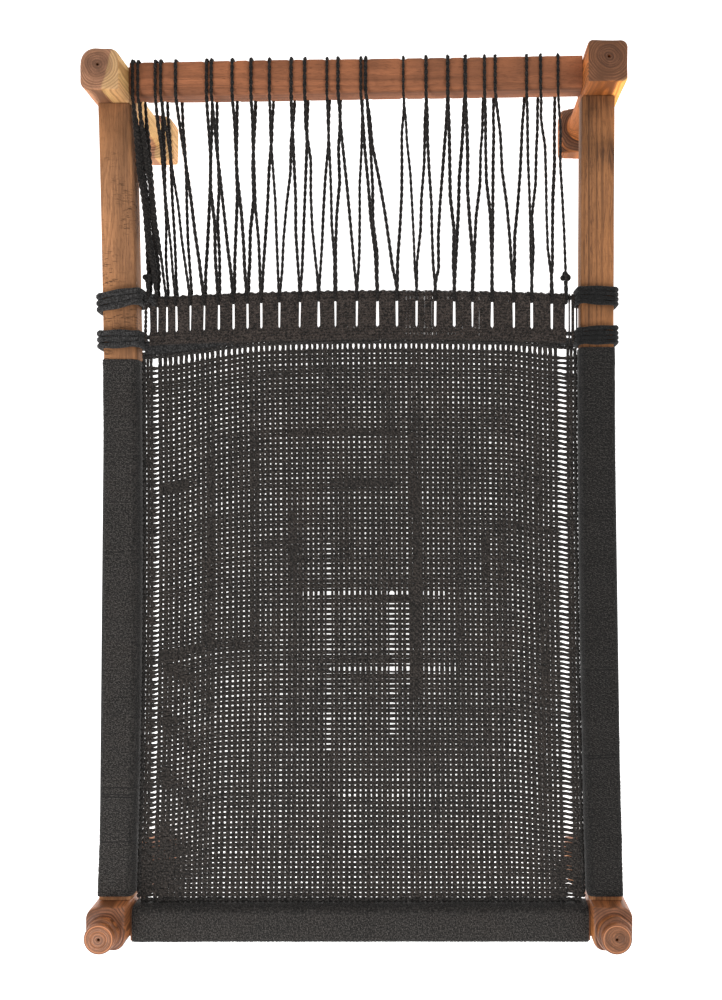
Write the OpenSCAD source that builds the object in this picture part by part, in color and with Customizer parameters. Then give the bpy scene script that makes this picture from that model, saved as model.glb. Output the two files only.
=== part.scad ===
// Woven string daybed (charpoy): four turned legs, four rails, a string web and its foot lacing.
// The origin is on the floor under the middle of the bed. +X is to the right, +Y to the foot end.

/* [Bed frame] */
// Distance between the head and foot leg axes
bed_length = 1760; // [1460:10:2120]
// Distance between the leg axes at the foot end
foot_width = 1024; // [850:2:1250]
// Distance between the leg axes at the head end
head_width = 1038; // [850:2:1250]
// How much nearer the foot end the right foot leg stands than the left one
skew = 16; // [0:1:30]
// How far the head end sits to the right of the foot end
rack = 9; // [0:1:20]

/* [Legs] */
// Height of the legs
leg_height = 450; // [370:5:560]
// How far the legs stand above the rails
leg_rise = 70; // [58:1:90]
// Leg stock from the turning axis to its outer faces
stock_out = 38; // [34:1:46]
// Leg stock from the turning axis to its inner face across the bed
stock_in = 42; // [36:1:52]
// Leg stock from the turning axis to its inner face along the bed
stock_along = 50; // [42:1:60]
// How much wider all round the foot is than the leg stock
foot_flare = 6; // [0:1:10]
// Radius of the outer corner of the leg stock
outer_corner_r = 30; // [16:1:33]
// Radius of the side corners of the foot legs' stock
side_corner_r = 13; // [6:1:18]
// Radius of the side corners of the head legs' stock
head_side_corner_r = 22; // [6:1:30]
// Radius of the turned shaft between foot and head
shaft_r = 31; // [24:1:38]
// Height of the square foot
foot_height = 66; // [40:2:100]
// Height of the turned knob on the head legs
knob_height = 32; // [20:1:44]
// Radius of the knob's top disc
knob_r = 30; // [22:1:36]
// Radius of the bead at the base of the knob
bead_r = 35; // [28:1:38]
// Radius of the lathe centre hole in each leg top
centre_hole_r = 2.8; // [1.5:0.1:5]
// Depth of the lathe centre hole
centre_hole_depth = 14; // [6:1:25]

/* [Rails] */
// Width of the rails
rail_width = 68; // [56:1:82]
// Depth of the rails
rail_depth = 50; // [40:1:60]
// How far inboard of the leg axes the side rails run
side_inset = 9; // [0:1:14]
// Inward bow of the left side rail at its middle
bow_left = 15; // [0:1:30]
// Inward bow of the right side rail at its middle
bow_right = 9; // [0:1:30]
// Width of the tenons
tenon_width = 40; // [24:1:44]
// Height of each tenon
tenon_height = 17; // [10:1:18]
// Length of the tenons
tenon_length = 64; // [30:1:72]
// Gap all round a tenon in its mortise
tenon_gap = 0.3; // [0.1:0.1:1]
// Gap between a rail's shoulder and its leg
shoulder_gap = 1; // [0.5:0.1:2]

/* [Web and band] */
// Thickness of the woven web
web_thickness = 7; // [4:0.5:12]
// Depth of the web's middle plane below the rails' top
web_drop = 23; // [14:1:32]
// Width of the knotted edge between the web and a rail
selvedge_width = 10; // [6:1:16]
// Thickness of the knotted edge
selvedge_thickness = 10; // [6:1:14]
// Bare rail between the left lower lashing and the wound string
bare_left = 22; // [2:1:60]
// Bare rail between the right lower lashing and the wound string
bare_right = 5; // [2:1:60]
// Thickness of the string wound round the rails
wrap_thickness = 3; // [2:0.5:5]
// Gap between the wound string and the rails
wrap_gap = 0.4; // [0.2:0.1:1]
// Bare rail between the wound string and the head legs
wrap_end_gap = 8; // [4:1:40]
// Distance from the foot leg axes to the upper cross rope
band_distance = 450; // [400:5:540]
// Distance between the middles of the two cross ropes
band_length = 82; // [60:1:110]
// How much further than that its ends are on the left
band_end_left = 8; // [0:1:20]
// How much further than that its ends are on the right
band_end_right = 16; // [0:1:30]
// How far the middle of the band bows towards the foot end
band_arch = 12; // [0:1:25]
// Width of the upper cross rope
upper_rope_width = 15; // [10:1:22]
// Width of the lower cross rope
lower_rope_width = 26; // [16:1:30]
// Thickness of the cross ropes
cross_rope_thickness = 14; // [8:1:18]
// Width of a rope lashing round a side rail
lashing_width = 38; // [24:1:44]
// Thickness of a rope lashing
lashing_thickness = 12; // [6:1:14]
// Thickness of the string bundles between the cross ropes
bundle_thickness = 9; // [5:1:13]
// Width of the slots between the string bundles
slot_width = 8; // [7:0.5:12]

/* [Lacing] */
// Diameter of the lacing cord
lacing_d = 6; // [4:0.5:7]
// Gap between the lacing cord and what it bends round
lacing_gap = 0.5; // [0.3:0.1:2]
// Diameter of the lacing cord's knots
knot_d = 17; // [12:1:22]

/* [Hidden] */

$fn = 64;
ARC_STEPS = 24;      // straight pieces in a bowed edge
CORNER_STEPS = 8;    // straight pieces in a rounded stock corner
INNER_CORNER_R = 5;
TOUCH = 0.4;         // gap between string pieces that lie against each other
CORD_SIDES = 8;
MIN_BUNDLE = 1;      // narrowest string bundle that is made
EXTRA = 1;           // how far a cutting shape runs past what it cuts

WOOD = "sienna";
PALE_WOOD = "peru";
STRING = [0.16, 0.15, 0.14];
CORD = [0.1, 0.1, 0.1];

// The leg axes, with the whole bed's box centred on the origin
raw_foot_left = [-foot_width / 2 - rack / 2, bed_length / 2 - skew / 2];
raw_foot_right = [foot_width / 2 - rack / 2, bed_length / 2 + skew / 2];
raw_head_left = [-head_width / 2 + rack / 2, -bed_length / 2];
raw_head_right = [head_width / 2 + rack / 2, -bed_length / 2];
centre_x = (max(raw_foot_right.x, raw_head_right.x) + min(raw_foot_left.x, raw_head_left.x)) / 2;
centre_y = (raw_foot_right.y + raw_head_left.y) / 2;
foot_left = raw_foot_left - [centre_x, centre_y];
foot_right = raw_foot_right - [centre_x, centre_y];
head_left = raw_head_left - [centre_x, centre_y];
head_right = raw_head_right - [centre_x, centre_y];

rail_top = leg_height - leg_rise;
rail_bottom = rail_top - rail_depth;
rail_middle = (rail_top + rail_bottom) / 2;
web_z = rail_top - web_drop;
side_tenon_z = rail_middle + TOUCH + tenon_gap;
cross_tenon_z = rail_middle - tenon_height - TOUCH - tenon_gap;
across_shoulder = stock_in + shoulder_gap;
along_shoulder = stock_along + shoulder_gap;

// Positions along a line between two leg axes: 0 at the first, 1 at the second
function along(a, b, t) = a + (b - a) * t;

// Middle lines of the rails: x of a side rail at y, and y of a cross rail at x
function side_t(a, b, y) = (y - a.y) / (b.y - a.y);
function side_line(a, b, inset, y) =
    let (t = side_t(a, b, y)) along(a, b, t).x + inset * 4 * t * (1 - t);
function left_line(y) = side_line(head_left, foot_left, bow_left, y) + side_inset;
function right_line(y) = side_line(head_right, foot_right, -bow_right, y) - side_inset;
function cross_line(a, b, x) = along(a, b, (x - a.x) / (b.x - a.x)).y;
function foot_line(x) = cross_line(foot_left, foot_right, x);
function head_line(x) = cross_line(head_left, head_right, x);

// The side rails' inner faces, as the web meets them
rail_half = rail_width / 2;
function left_face(y) = left_line(y) + rail_half;
function right_face(y) = right_line(y) - rail_half;

// Middle line of the upper cross rope, arched towards the foot end
band_left = foot_left.y - band_distance - band_end_left;
band_right = foot_right.y - band_distance - band_end_right;
band_half = (right_face(band_right) - left_face(band_left)) / 2;
band_middle = (right_face(band_right) + left_face(band_left)) / 2;
function band_line(x) =
    let (u = (x - band_middle) / band_half)
    (band_left + band_right) / 2 + (band_right - band_left) / 2 * u + band_arch * (1 - u * u);
function lower_line(x) = band_line(x) - band_length;
lower_left = band_left - band_length;
lower_right = band_right - band_length;

// Where the side rails' inner faces come furthest in, over a width in y
function left_edge(y, width) = max(left_face(y - width / 2), left_face(y + width / 2));
function right_edge(y, width) = min(right_face(y - width / 2), right_face(y + width / 2));

// Steps from one value to another
function steps(a, b) = [for (i = [0:ARC_STEPS]) a + (b - a) * i / ARC_STEPS];

// Plan outlines between two edge functions, lengthwise and crosswise
module strip_y(y0, y1, left, right) {
    ys = steps(y0, y1);
    polygon(concat(
        [for (y = ys) [left(y), y]],
        [for (i = [ARC_STEPS:-1:0]) [right(ys[i]), ys[i]]]
    ));
}
module strip_x(x0, x1, low, high) {
    xs = steps(x0, x1);
    polygon(concat(
        [for (x = xs) [x, low(x)]],
        [for (i = [ARC_STEPS:-1:0]) [xs[i], high(xs[i])]]
    ));
}
module slab(z0, z1) {
    translate([0, 0, z0]) linear_extrude(height = z1 - z0) children();
}
module sleeve(thickness, gap) {
    difference() {
        slab(rail_bottom - gap - thickness, rail_top + gap + thickness) children(0);
        slab(rail_bottom - gap, rail_top + gap) children(1);
    }
}

// Legs
function corner(cx, cy, r, start) =
    [for (i = [0:CORNER_STEPS]) let (a = start + 90 * i / CORNER_STEPS) [cx + r * cos(a), cy + r * sin(a)]];

// Outline of the leg stock, with the inner corner towards +X and +Y
module stock_outline(flare, side_r) {
    out = stock_out + flare;
    across = stock_in + flare;
    lengthwise = stock_along + flare;
    polygon(concat(
        corner(across - INNER_CORNER_R, lengthwise - INNER_CORNER_R, INNER_CORNER_R, 0),
        corner(side_r - out, lengthwise - side_r, side_r, 90),
        corner(outer_corner_r - out, outer_corner_r - out, outer_corner_r, 180),
        corner(across - side_r, side_r - out, side_r, 270)
    ));
}
// The lathe's profiles: turned shaft with the square foot's shoulder, and the square head's shoulders
wide = (stock_along + foot_flare) * 1.5;
module foot_turning() {
    rotate_extrude() polygon([
        [0, 0], [stock_along, 0], [stock_along + 10, 5], [wide, 12], [wide, foot_height - 24],
        [stock_along + 8, foot_height - 10], [shaft_r + 14, foot_height], [shaft_r + 6, foot_height + 3],
        [shaft_r + 1, foot_height + 14], [shaft_r, foot_height + 30], [0, foot_height + 30]
    ]);
}
module head_turning(top_z) {
    rotate_extrude() polygon([
        [0, foot_height + 29], [shaft_r, foot_height + 29],
        [shaft_r, rail_bottom - 74], [shaft_r + 3, rail_bottom - 56], [shaft_r + 10, rail_bottom - 42],
        [stock_in + 2, rail_bottom - 28], [wide, rail_bottom - 14],
        [wide, top_z - 12], [stock_along + 6, top_z - 3], [stock_along - 4, top_z], [0, top_z]
    ]);
}
module knob() {
    base = leg_height - knob_height;
    rotate_extrude() polygon([
        [0, base - EXTRA], [bead_r - 3, base - EXTRA], [bead_r - 1, base + 3], [bead_r, base + 7],
        [bead_r - 1, base + 11], [bead_r - 4, base + 14], [knob_r - 1, base + 17],
        [knob_r + 1, leg_height - 10], [knob_r + 1, leg_height - 5], [knob_r - 1, leg_height - 1.5],
        [knob_r - 4, leg_height], [0, leg_height]
    ]);
}
module leg(at, flip_x, flip_y, has_knob) {
    block_top = has_knob ? leg_height - knob_height : leg_height;
    side_r = has_knob ? head_side_corner_r : side_corner_r;
    color(has_knob ? WOOD : PALE_WOOD) difference() {
        translate([at.x, at.y, 0]) mirror([flip_x, 0, 0]) mirror([0, flip_y, 0]) difference() {
            union() {
                intersection() {
                    slab(0, foot_height + 30) stock_outline(foot_flare, side_r);
                    foot_turning();
                }
                intersection() {
                    slab(foot_height + 29, block_top) stock_outline(0, side_r);
                    head_turning(block_top);
                }
                if (has_knob) knob();
            }
            translate([0, 0, leg_height - centre_hole_depth])
                cylinder(r = centre_hole_r, h = centre_hole_depth + EXTRA);
        }
        side_tenons(tenon_gap);
        cross_tenons(tenon_gap);
    }
}
module leg_foot_left() { leg(foot_left, 0, 1, false); }
module leg_foot_right() { leg(foot_right, 1, 1, false); }
module leg_head_left() { leg(head_left, 0, 0, true); }
module leg_head_right() { leg(head_right, 1, 0, true); }

// Tenons of the side rails and of the cross rails, the side rails' above the cross rails'
side_tenon_end = stock_along - tenon_length;
cross_tenon_end = stock_in - tenon_length;
module side_tenons(gap) {
    half = tenon_width / 2 + gap;
    end = side_tenon_end - gap;
    slab(side_tenon_z - gap, side_tenon_z + tenon_height + gap) {
        strip_y(head_left.y + end, foot_left.y - end,
            function(y) left_line(y) - half, function(y) left_line(y) + half);
        strip_y(head_right.y + end, foot_right.y - end,
            function(y) right_line(y) - half, function(y) right_line(y) + half);
    }
}
module cross_tenons(gap) {
    half = tenon_width / 2 + gap;
    end = cross_tenon_end - gap;
    slab(cross_tenon_z - gap, cross_tenon_z + tenon_height + gap) {
        strip_x(foot_left.x + end, foot_right.x - end,
            function(x) foot_line(x) - half, function(x) foot_line(x) + half);
        strip_x(head_left.x + end, head_right.x - end,
            function(x) head_line(x) - half, function(x) head_line(x) + half);
    }
}

// Rails
module side_rail(head, foot, line) {
    color(WOOD) union() {
        slab(rail_bottom, rail_top) strip_y(head.y + along_shoulder, foot.y - along_shoulder,
            function(y) line(y) - rail_half, function(y) line(y) + rail_half);
        slab(side_tenon_z, side_tenon_z + tenon_height)
            strip_y(head.y + side_tenon_end, foot.y - side_tenon_end,
                function(y) line(y) - tenon_width / 2, function(y) line(y) + tenon_width / 2);
    }
}
module cross_rail(left, right, line) {
    color(WOOD) union() {
        slab(rail_bottom, rail_top) strip_x(left.x + across_shoulder, right.x - across_shoulder,
            function(x) line(x) - rail_half, function(x) line(x) + rail_half);
        slab(cross_tenon_z, cross_tenon_z + tenon_height)
            strip_x(left.x + cross_tenon_end, right.x - cross_tenon_end,
                function(x) line(x) - tenon_width / 2, function(x) line(x) + tenon_width / 2);
    }
}
module side_rail_left() { side_rail(head_left, foot_left, function(y) left_line(y)); }
module side_rail_right() { side_rail(head_right, foot_right, function(y) right_line(y)); }
module foot_rail() { cross_rail(foot_left, foot_right, function(x) foot_line(x)); }
module head_rail() { cross_rail(head_left, head_right, function(x) head_line(x)); }

// String wound round the rails, as closed sleeves
module side_sleeve(y0, y1, line, thickness, gap) {
    sleeve(thickness, gap) {
        strip_y(y0, y1, function(y) line(y) - rail_half - gap - thickness,
            function(y) line(y) + rail_half + gap + thickness);
        strip_y(y0 - EXTRA, y1 + EXTRA, function(y) line(y) - rail_half - gap,
            function(y) line(y) + rail_half + gap);
    }
}
module side_wrap(head, upper_lashing_y, bare, line) {
    y1 = upper_lashing_y - band_length - lashing_width / 2 - bare;
    color(STRING) side_sleeve(head.y + along_shoulder + wrap_end_gap, y1, line, wrap_thickness, wrap_gap);
}
module side_wrap_left() { side_wrap(head_left, band_left, bare_left, function(y) left_line(y)); }
module side_wrap_right() { side_wrap(head_right, band_right, bare_right, function(y) right_line(y)); }
module head_wrap() {
    outer = rail_half + wrap_gap + wrap_thickness;
    inner = rail_half + wrap_gap;
    x0 = head_left.x + across_shoulder + wrap_thickness;
    x1 = head_right.x - across_shoulder - wrap_thickness;
    color(STRING) sleeve(wrap_thickness, wrap_gap) {
        strip_x(x0, x1, function(x) head_line(x) - outer, function(x) head_line(x) + outer);
        strip_x(x0 - EXTRA, x1 + EXTRA, function(x) head_line(x) - inner, function(x) head_line(x) + inner);
    }
}

// Woven web and its edges, between the wound rails and clear of the legs
clear = wrap_gap + wrap_thickness + TOUCH;
web_edge = clear + selvedge_width + TOUCH;
twined_top = lower_rope_width / 2 + TOUCH;
web_top = twined_top + selvedge_width + TOUCH;
web_low_y = head_left.y + rail_half + web_edge;
module leg_room() {
    slab(rail_bottom, rail_top) for (at = [head_left, head_right])
        translate(at) square([2 * (across_shoulder + TOUCH), 2 * (along_shoulder + TOUCH)], center = true);
}
module web_slab(thickness) {
    color(STRING) difference() {
        slab(web_z - thickness / 2, web_z + thickness / 2) children();
        leg_room();
    }
}
module woven_web() {
    // The side edges run to the lower cross rope, and the foot edge follows its arch
    web_slab(web_thickness) intersection() {
        strip_y(web_low_y, foot_right.y - band_distance,
            function(y) left_face(y) + web_edge, function(y) right_face(y) - web_edge);
        strip_x(head_left.x, head_right.x,
            function(x) head_left.y, function(x) lower_line(x) - web_top);
    }
}
module selvedge_side(end_y, inner, outer) {
    web_slab(selvedge_thickness) strip_y(web_low_y, end_y - web_top, inner, outer);
}
module selvedge_left() {
    selvedge_side(lower_line(left_edge(lower_left, 0)), function(y) left_face(y) + clear,
        function(y) left_face(y) + clear + selvedge_width);
}
module selvedge_right() {
    selvedge_side(lower_line(right_edge(lower_right, 0)), function(y) right_face(y) - clear - selvedge_width,
        function(y) right_face(y) - clear);
}
module selvedge_head() {
    y = head_left.y + rail_half;
    web_slab(selvedge_thickness)
        strip_x(left_face(y) + web_edge, right_face(y) - web_edge,
            function(x) y + clear, function(x) y + clear + selvedge_width);
}
module twined_foot_edge() {
    web_slab(selvedge_thickness)
        strip_x(left_edge(lower_left, lashing_width) + web_edge,
            right_edge(lower_right, lashing_width) - web_edge,
            function(x) lower_line(x) - twined_top - selvedge_width, function(x) lower_line(x) - twined_top);
}

// Cross ropes, the lashings that tie them to the side rails, and the bundles between them
rope_end = wrap_gap + lashing_thickness + TOUCH;
module cross_rope(left_y, right_y, line, width) {
    color(STRING) slab(web_z - cross_rope_thickness / 2, web_z + cross_rope_thickness / 2)
        strip_x(left_edge(left_y, lashing_width) + rope_end, right_edge(right_y, lashing_width) - rope_end,
            function(x) line(x) - width / 2, function(x) line(x) + width / 2);
}
module upper_cross_rope() {
    cross_rope(band_left, band_right, function(x) band_line(x), upper_rope_width);
}
module lower_cross_rope() {
    cross_rope(lower_left, lower_right, function(x) lower_line(x), lower_rope_width);
}
module lashing(y, line) {
    color(CORD) side_sleeve(y - lashing_width / 2, y + lashing_width / 2, line, lashing_thickness, wrap_gap);
}
module lashing_upper_left() { lashing(band_left, function(y) left_line(y)); }
module lashing_upper_right() { lashing(band_right, function(y) right_line(y)); }
module lashing_lower_left() { lashing(lower_left, function(y) left_line(y)); }
module lashing_lower_right() { lashing(lower_right, function(y) right_line(y)); }

// Slots in the band and turns of the lacing on the foot rail, from left to right
slot_x = [
    -442, -425, -405, -386, -356, -327, -297, -266, -237, -208, -170, -127, -88, -53,
    -8, 35, 76, 117, 156, 196, 234, 275, 320, 358, 400, 430
];
turn_x = [
    -470, -459, -423, -412, -381, -317, -307, -264, -225, -187, -142, -114, -68,
    -45, 2, 12, 90, 137, 182, 218, 258, 280, 345, 374, 410
];
// The cord keeps every slot that it passes through, and a bundle with no room beside a slot is left out
module band_bundles() {
    first = left_edge(lower_left, lashing_width) + rope_end;
    last = right_edge(lower_right, lashing_width) - rope_end;
    inside = [for (x = slot_x) if (x > first - slot_width / 2 && x < last + slot_width / 2) x];
    edges = concat([first - slot_width / 2], inside, [last + slot_width / 2]);
    color(STRING) slab(web_z - bundle_thickness / 2, web_z + bundle_thickness / 2)
        for (i = [0:len(edges) - 2]) if (edges[i + 1] - edges[i] > slot_width + MIN_BUNDLE) {
            strip_x(edges[i] + slot_width / 2, edges[i + 1] - slot_width / 2,
                function(x) lower_line(x) + lower_rope_width / 2 + TOUCH,
                function(x) band_line(x) - upper_rope_width / 2 - TOUCH);
        }
}

// The lacing cord: over the foot rail, down over the upper cross rope, through a slot and back under
lacing_r = lacing_d / 2;
off = lacing_r + lacing_gap;
function over_rail(x) = [
    [x, foot_line(x) - rail_half - off, rail_bottom - off],
    [x, foot_line(x) + rail_half + off, rail_bottom - off],
    [x, foot_line(x) + rail_half + off, rail_top + off],
    [x, foot_line(x) - rail_half - off, rail_top + off]
];
function round_rope(x) = let (
    y = band_line(x), half = upper_rope_width / 2 + off, rise = cross_rope_thickness / 2 + off
) [
    [x, y + half, web_z + rise],
    [x, y - half, web_z + rise],
    [x, y - half, web_z - rise],
    [x, y + half, web_z - rise]
];
// Both ends come round the rope and stop at a knot a little towards the foot rail
tail = [0, 26, 0];
lacing_route = concat(
    [round_rope(slot_x[0])[0] + tail],
    round_rope(slot_x[0]),
    [for (i = [0:len(turn_x) - 1]) each concat(over_rail(turn_x[i]), round_rope(slot_x[i + 1]))],
    [round_rope(slot_x[len(turn_x)])[3] + tail]
);

// A closed tube along points, with one ring at each, square to the mean of its two directions
function unit(v) = v / norm(v);
function direction(p, i) =
    i == 0 ? unit(p[1] - p[0])
    : i == len(p) - 1 ? unit(p[i] - p[i - 1])
    : unit(unit(p[i + 1] - p[i]) + unit(p[i] - p[i - 1]));
function carry(v, d) = unit(v - (v * d) * d);
function frames(p, i = 0, v = [1, 0, 0]) =
    i == len(p) ? []
    : let (d = direction(p, i), u = carry(v, d)) concat([[u, cross(d, u)]], frames(p, i + 1, u));
function stretch(p, i) =
    i == 0 || i == len(p) - 1 ? 1
    : 1 / max(0.5, direction(p, i) * unit(p[i + 1] - p[i]));
// Each bend is mitred: the ring is stretched in the plane of the bend
function bend_axis(p, i) =
    i == 0 || i == len(p) - 1 ? [0, 0, 0]
    : let (c = unit(p[i + 1] - p[i]) - unit(p[i] - p[i - 1])) norm(c) < 0.001 ? [0, 0, 0] : unit(c);
function ring_point(p, i, f, a, r) = let (
    v = r * (cos(a) * f[i][0] + sin(a) * f[i][1]),
    b = bend_axis(p, i)
) p[i] + v + (v * b) * (stretch(p, i) - 1) * b;
module tube(p, r) {
    f = frames(p);
    n = len(p);
    polyhedron(
        points = [
            for (i = [0:n - 1]) for (k = [0:CORD_SIDES - 1]) ring_point(p, i, f, 360 * k / CORD_SIDES, r)
        ],
        faces = concat(
            [[for (k = [0:CORD_SIDES - 1]) k]],
            [for (i = [0:n - 2]) for (k = [0:CORD_SIDES - 1]) let (
                a = i * CORD_SIDES + k, b = i * CORD_SIDES + (k + 1) % CORD_SIDES
            ) [a, a + CORD_SIDES, b + CORD_SIDES, b]],
            [[for (k = [CORD_SIDES - 1:-1:0]) (n - 1) * CORD_SIDES + k]]
        )
    );
}
module lacing_cord() {
    color(CORD) tube(lacing_route, lacing_r);
}

// Knots that stop the cord's two ends, each close against its end
module knot(at) {
    color(CORD) translate(at + [0, knot_d / 2 + TOUCH, 0]) sphere(d = knot_d);
}
module lacing_knot_left() { knot(lacing_route[0]); }
module lacing_knot_right() { knot(lacing_route[len(lacing_route) - 1]); }

leg_foot_left();
leg_foot_right();
leg_head_left();
leg_head_right();
side_rail_left();
side_rail_right();
foot_rail();
head_rail();
side_wrap_left();
side_wrap_right();
head_wrap();
woven_web();
selvedge_left();
selvedge_right();
selvedge_head();
twined_foot_edge();
upper_cross_rope();
lower_cross_rope();
band_bundles();
lashing_upper_left();
lashing_upper_right();
lashing_lower_left();
lashing_lower_right();
lacing_cord();
lacing_knot_left();
lacing_knot_right();
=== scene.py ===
"""Woven string daybed: its wooden frame, string web and foot lacing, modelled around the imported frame."""

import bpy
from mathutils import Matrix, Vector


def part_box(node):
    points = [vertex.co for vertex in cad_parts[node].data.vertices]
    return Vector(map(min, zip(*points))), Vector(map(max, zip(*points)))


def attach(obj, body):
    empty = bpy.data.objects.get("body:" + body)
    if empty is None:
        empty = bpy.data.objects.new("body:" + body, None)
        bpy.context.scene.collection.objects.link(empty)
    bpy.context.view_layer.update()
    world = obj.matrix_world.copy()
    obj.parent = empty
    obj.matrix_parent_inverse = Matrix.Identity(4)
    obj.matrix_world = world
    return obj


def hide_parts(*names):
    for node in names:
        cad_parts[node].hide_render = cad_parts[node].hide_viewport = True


bl_info = {
    "name": "Woven String Daybed",
    "version": (1, 0, 0),
    "blender": (4, 5, 0),
    "location": "3D View > Sidebar > Daybed",
    "description": "Models a charpoy: turned legs, rails, woven string web, wound rails and cord lacing",
    "category": "Add Mesh",
}

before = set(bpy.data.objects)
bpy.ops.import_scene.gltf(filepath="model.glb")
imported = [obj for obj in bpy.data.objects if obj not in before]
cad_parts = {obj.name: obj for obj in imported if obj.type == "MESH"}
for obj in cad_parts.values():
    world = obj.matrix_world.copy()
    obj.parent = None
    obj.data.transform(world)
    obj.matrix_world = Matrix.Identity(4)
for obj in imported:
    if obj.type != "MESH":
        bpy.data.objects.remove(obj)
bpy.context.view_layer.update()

import math

import bpy
import bmesh
import numpy as np
from bpy.props import FloatProperty, FloatVectorProperty, IntProperty, PointerProperty
from mathutils import Vector, noise

SEED = 7
MM = 0.001

# Sizes that the CAD model has too
STOCK_OUT = 38 * MM        # leg stock from the turning axis to its outer faces
STOCK_IN = 42 * MM         # to the inner face across the bed
STOCK_ALONG = 50 * MM      # to the inner face along the bed
FOOT_FLARE = 6 * MM
FOOT_HEIGHT = 66 * MM
KNOB_HEIGHT = 32 * MM
SHAFT = 31.0               # radius of a leg's turned shaft in millimetres
SIDE_INSET = 9 * MM        # side rails inboard of the leg axes
BOW_LEFT = 15 * MM
BOW_RIGHT = 9 * MM
SHOULDER_GAP = 1 * MM      # between a rail's end and the leg
TENON_LENGTH = 64 * MM
TENON_WIDTH = 40 * MM
TENON_HEIGHT = 17 * MM
TENON_SHIFT = 0.7 * MM     # a side rail's tenons lie above the rail's middle, a cross rail's lie below it
WEB_DROP = 23 * MM
SELVEDGE = 10 * MM
WRAP = 3 * MM
WRAP_GAP = 0.4 * MM
CLEAR = WRAP_GAP + WRAP + 0.4 * MM
WEB_EDGE = CLEAR + SELVEDGE + 0.4 * MM
BAND_LENGTH = 82 * MM
BAND_ARCH = 12 * MM
UPPER_ROPE = 15 * MM
LOWER_ROPE = 26 * MM
ROPE_THICK = 14 * MM
LACING_OFF = 3.5 * MM      # middle of the lacing cord from what it bends round
LACING_TAIL = 26 * MM

# Sizes that only the looks have
TENON_SHOULDER = 12 * MM   # from a rail's faces to its tenon's root
INNER_ROUND = 12 * MM      # a rail's arris on top of its inner side, where it is worn
OUTER_ROUND = 4 * MM       # its other arrises
VALLEY = 0.55              # height of the winding between two turns, as a share of the turns'
GROUP_THICK = 1.15 * MM    # half the thickness of a group of strings in the web
SWING = 1.25 * MM          # how far a group goes up or down at a crossing
DASH = 8 * MM              # open crossing between the web's last row and the cord at its foot
GAUGE = 2.75 * MM          # from one string of a bundle to the next
BINDING = 3 * MM           # from one turn of the cross ropes' binding to the next
LOOSE_LEFT = -0.4405       # left of it the band has only one twisted cord
LOOSE_CORD = -0.449
LOOSE_RIGHT = (0.4365, 0.4425, 0.4455, 0.4520)    # the last few strings on the right lie apart
ROSETTE = ((-0.4335, 0.3), (-0.4425, 1.2))        # the knots in the upper rope's ends: x and turn
LASHING_STRINGS = 8        # strings that show along each turn of a lashing
BITE = 0.9 * MM            # how far the lacing has bitten into the foot rail
KNOT_SIZE = 12 * MM

# Slots of the band and turns of the lacing on the foot rail, from left to right, in millimetres
SLOT_X = [-442, -425, -405, -386, -356, -327, -297, -266, -237, -208, -170, -127, -88, -53,
          -8, 35, 76, 117, 156, 196, 234, 275, 320, 358, 400, 430]
TURN_X = [-470, -459, -423, -412, -381, -317, -307, -264, -225, -187, -142, -114, -68,
          -45, 2, 12, 90, 137, 182, 218, 258, 280, 345, 374, 410]


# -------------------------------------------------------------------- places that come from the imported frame
def leg_axis(node, side, end):
    """x and y of a leg's turning axis. side and end are +1 where the bed's middle lies towards +X and +Y."""
    low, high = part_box(node)
    x = low.x + STOCK_OUT + FOOT_FLARE if side > 0 else high.x - STOCK_OUT - FOOT_FLARE
    y = low.y + STOCK_OUT + FOOT_FLARE if end > 0 else high.y - STOCK_OUT - FOOT_FLARE
    return np.array([x, y])


FOOT_LEFT = leg_axis("leg_foot_left", 1, -1)
FOOT_RIGHT = leg_axis("leg_foot_right", -1, -1)
HEAD_LEFT = leg_axis("leg_head_left", 1, 1)
HEAD_RIGHT = leg_axis("leg_head_right", -1, 1)
LEG_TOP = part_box("leg_foot_left")[1].z
RAIL_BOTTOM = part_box("foot_rail")[0].z
RAIL_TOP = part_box("foot_rail")[1].z
RAIL_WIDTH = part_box("head_rail")[1].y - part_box("head_rail")[0].y
RAIL_HALF = RAIL_WIDTH / 2
WEB_Z = RAIL_TOP - WEB_DROP
BAND_LEFT = sum(c.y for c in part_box("lashing_upper_left")) / 2
BAND_RIGHT = sum(c.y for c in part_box("lashing_upper_right")) / 2
WEB_LOW = HEAD_LEFT[1] + RAIL_HALF + WEB_EDGE


def side_line(head, foot, bow, inset, y):
    """x of a side rail's middle line at y."""
    t = (y - head[1]) / (foot[1] - head[1])
    return head[0] + (foot[0] - head[0]) * t + bow * 4 * t * (1 - t) + inset


def left_line(y):
    """x of the left rail's middle line at y."""
    return side_line(HEAD_LEFT, FOOT_LEFT, BOW_LEFT, SIDE_INSET, y)


def right_line(y):
    """x of the right rail's middle line at y."""
    return side_line(HEAD_RIGHT, FOOT_RIGHT, -BOW_RIGHT, -SIDE_INSET, y)


def left_face(y):
    """x of the left rail's inner face at y."""
    return left_line(y) + RAIL_HALF


def right_face(y):
    """x of the right rail's inner face at y."""
    return right_line(y) - RAIL_HALF


def cross_line(left, right, x):
    """y of a cross rail's middle line at x."""
    return left[1] + (right[1] - left[1]) * (x - left[0]) / (right[0] - left[0])


def foot_line(x):
    """y of the foot rail's middle line at x."""
    return cross_line(FOOT_LEFT, FOOT_RIGHT, x)


def head_line(x):
    """y of the head rail's middle line at x."""
    return cross_line(HEAD_LEFT, HEAD_RIGHT, x)


BAND_HALF = (right_face(BAND_RIGHT) - left_face(BAND_LEFT)) / 2
BAND_MIDDLE = (right_face(BAND_RIGHT) + left_face(BAND_LEFT)) / 2


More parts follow.
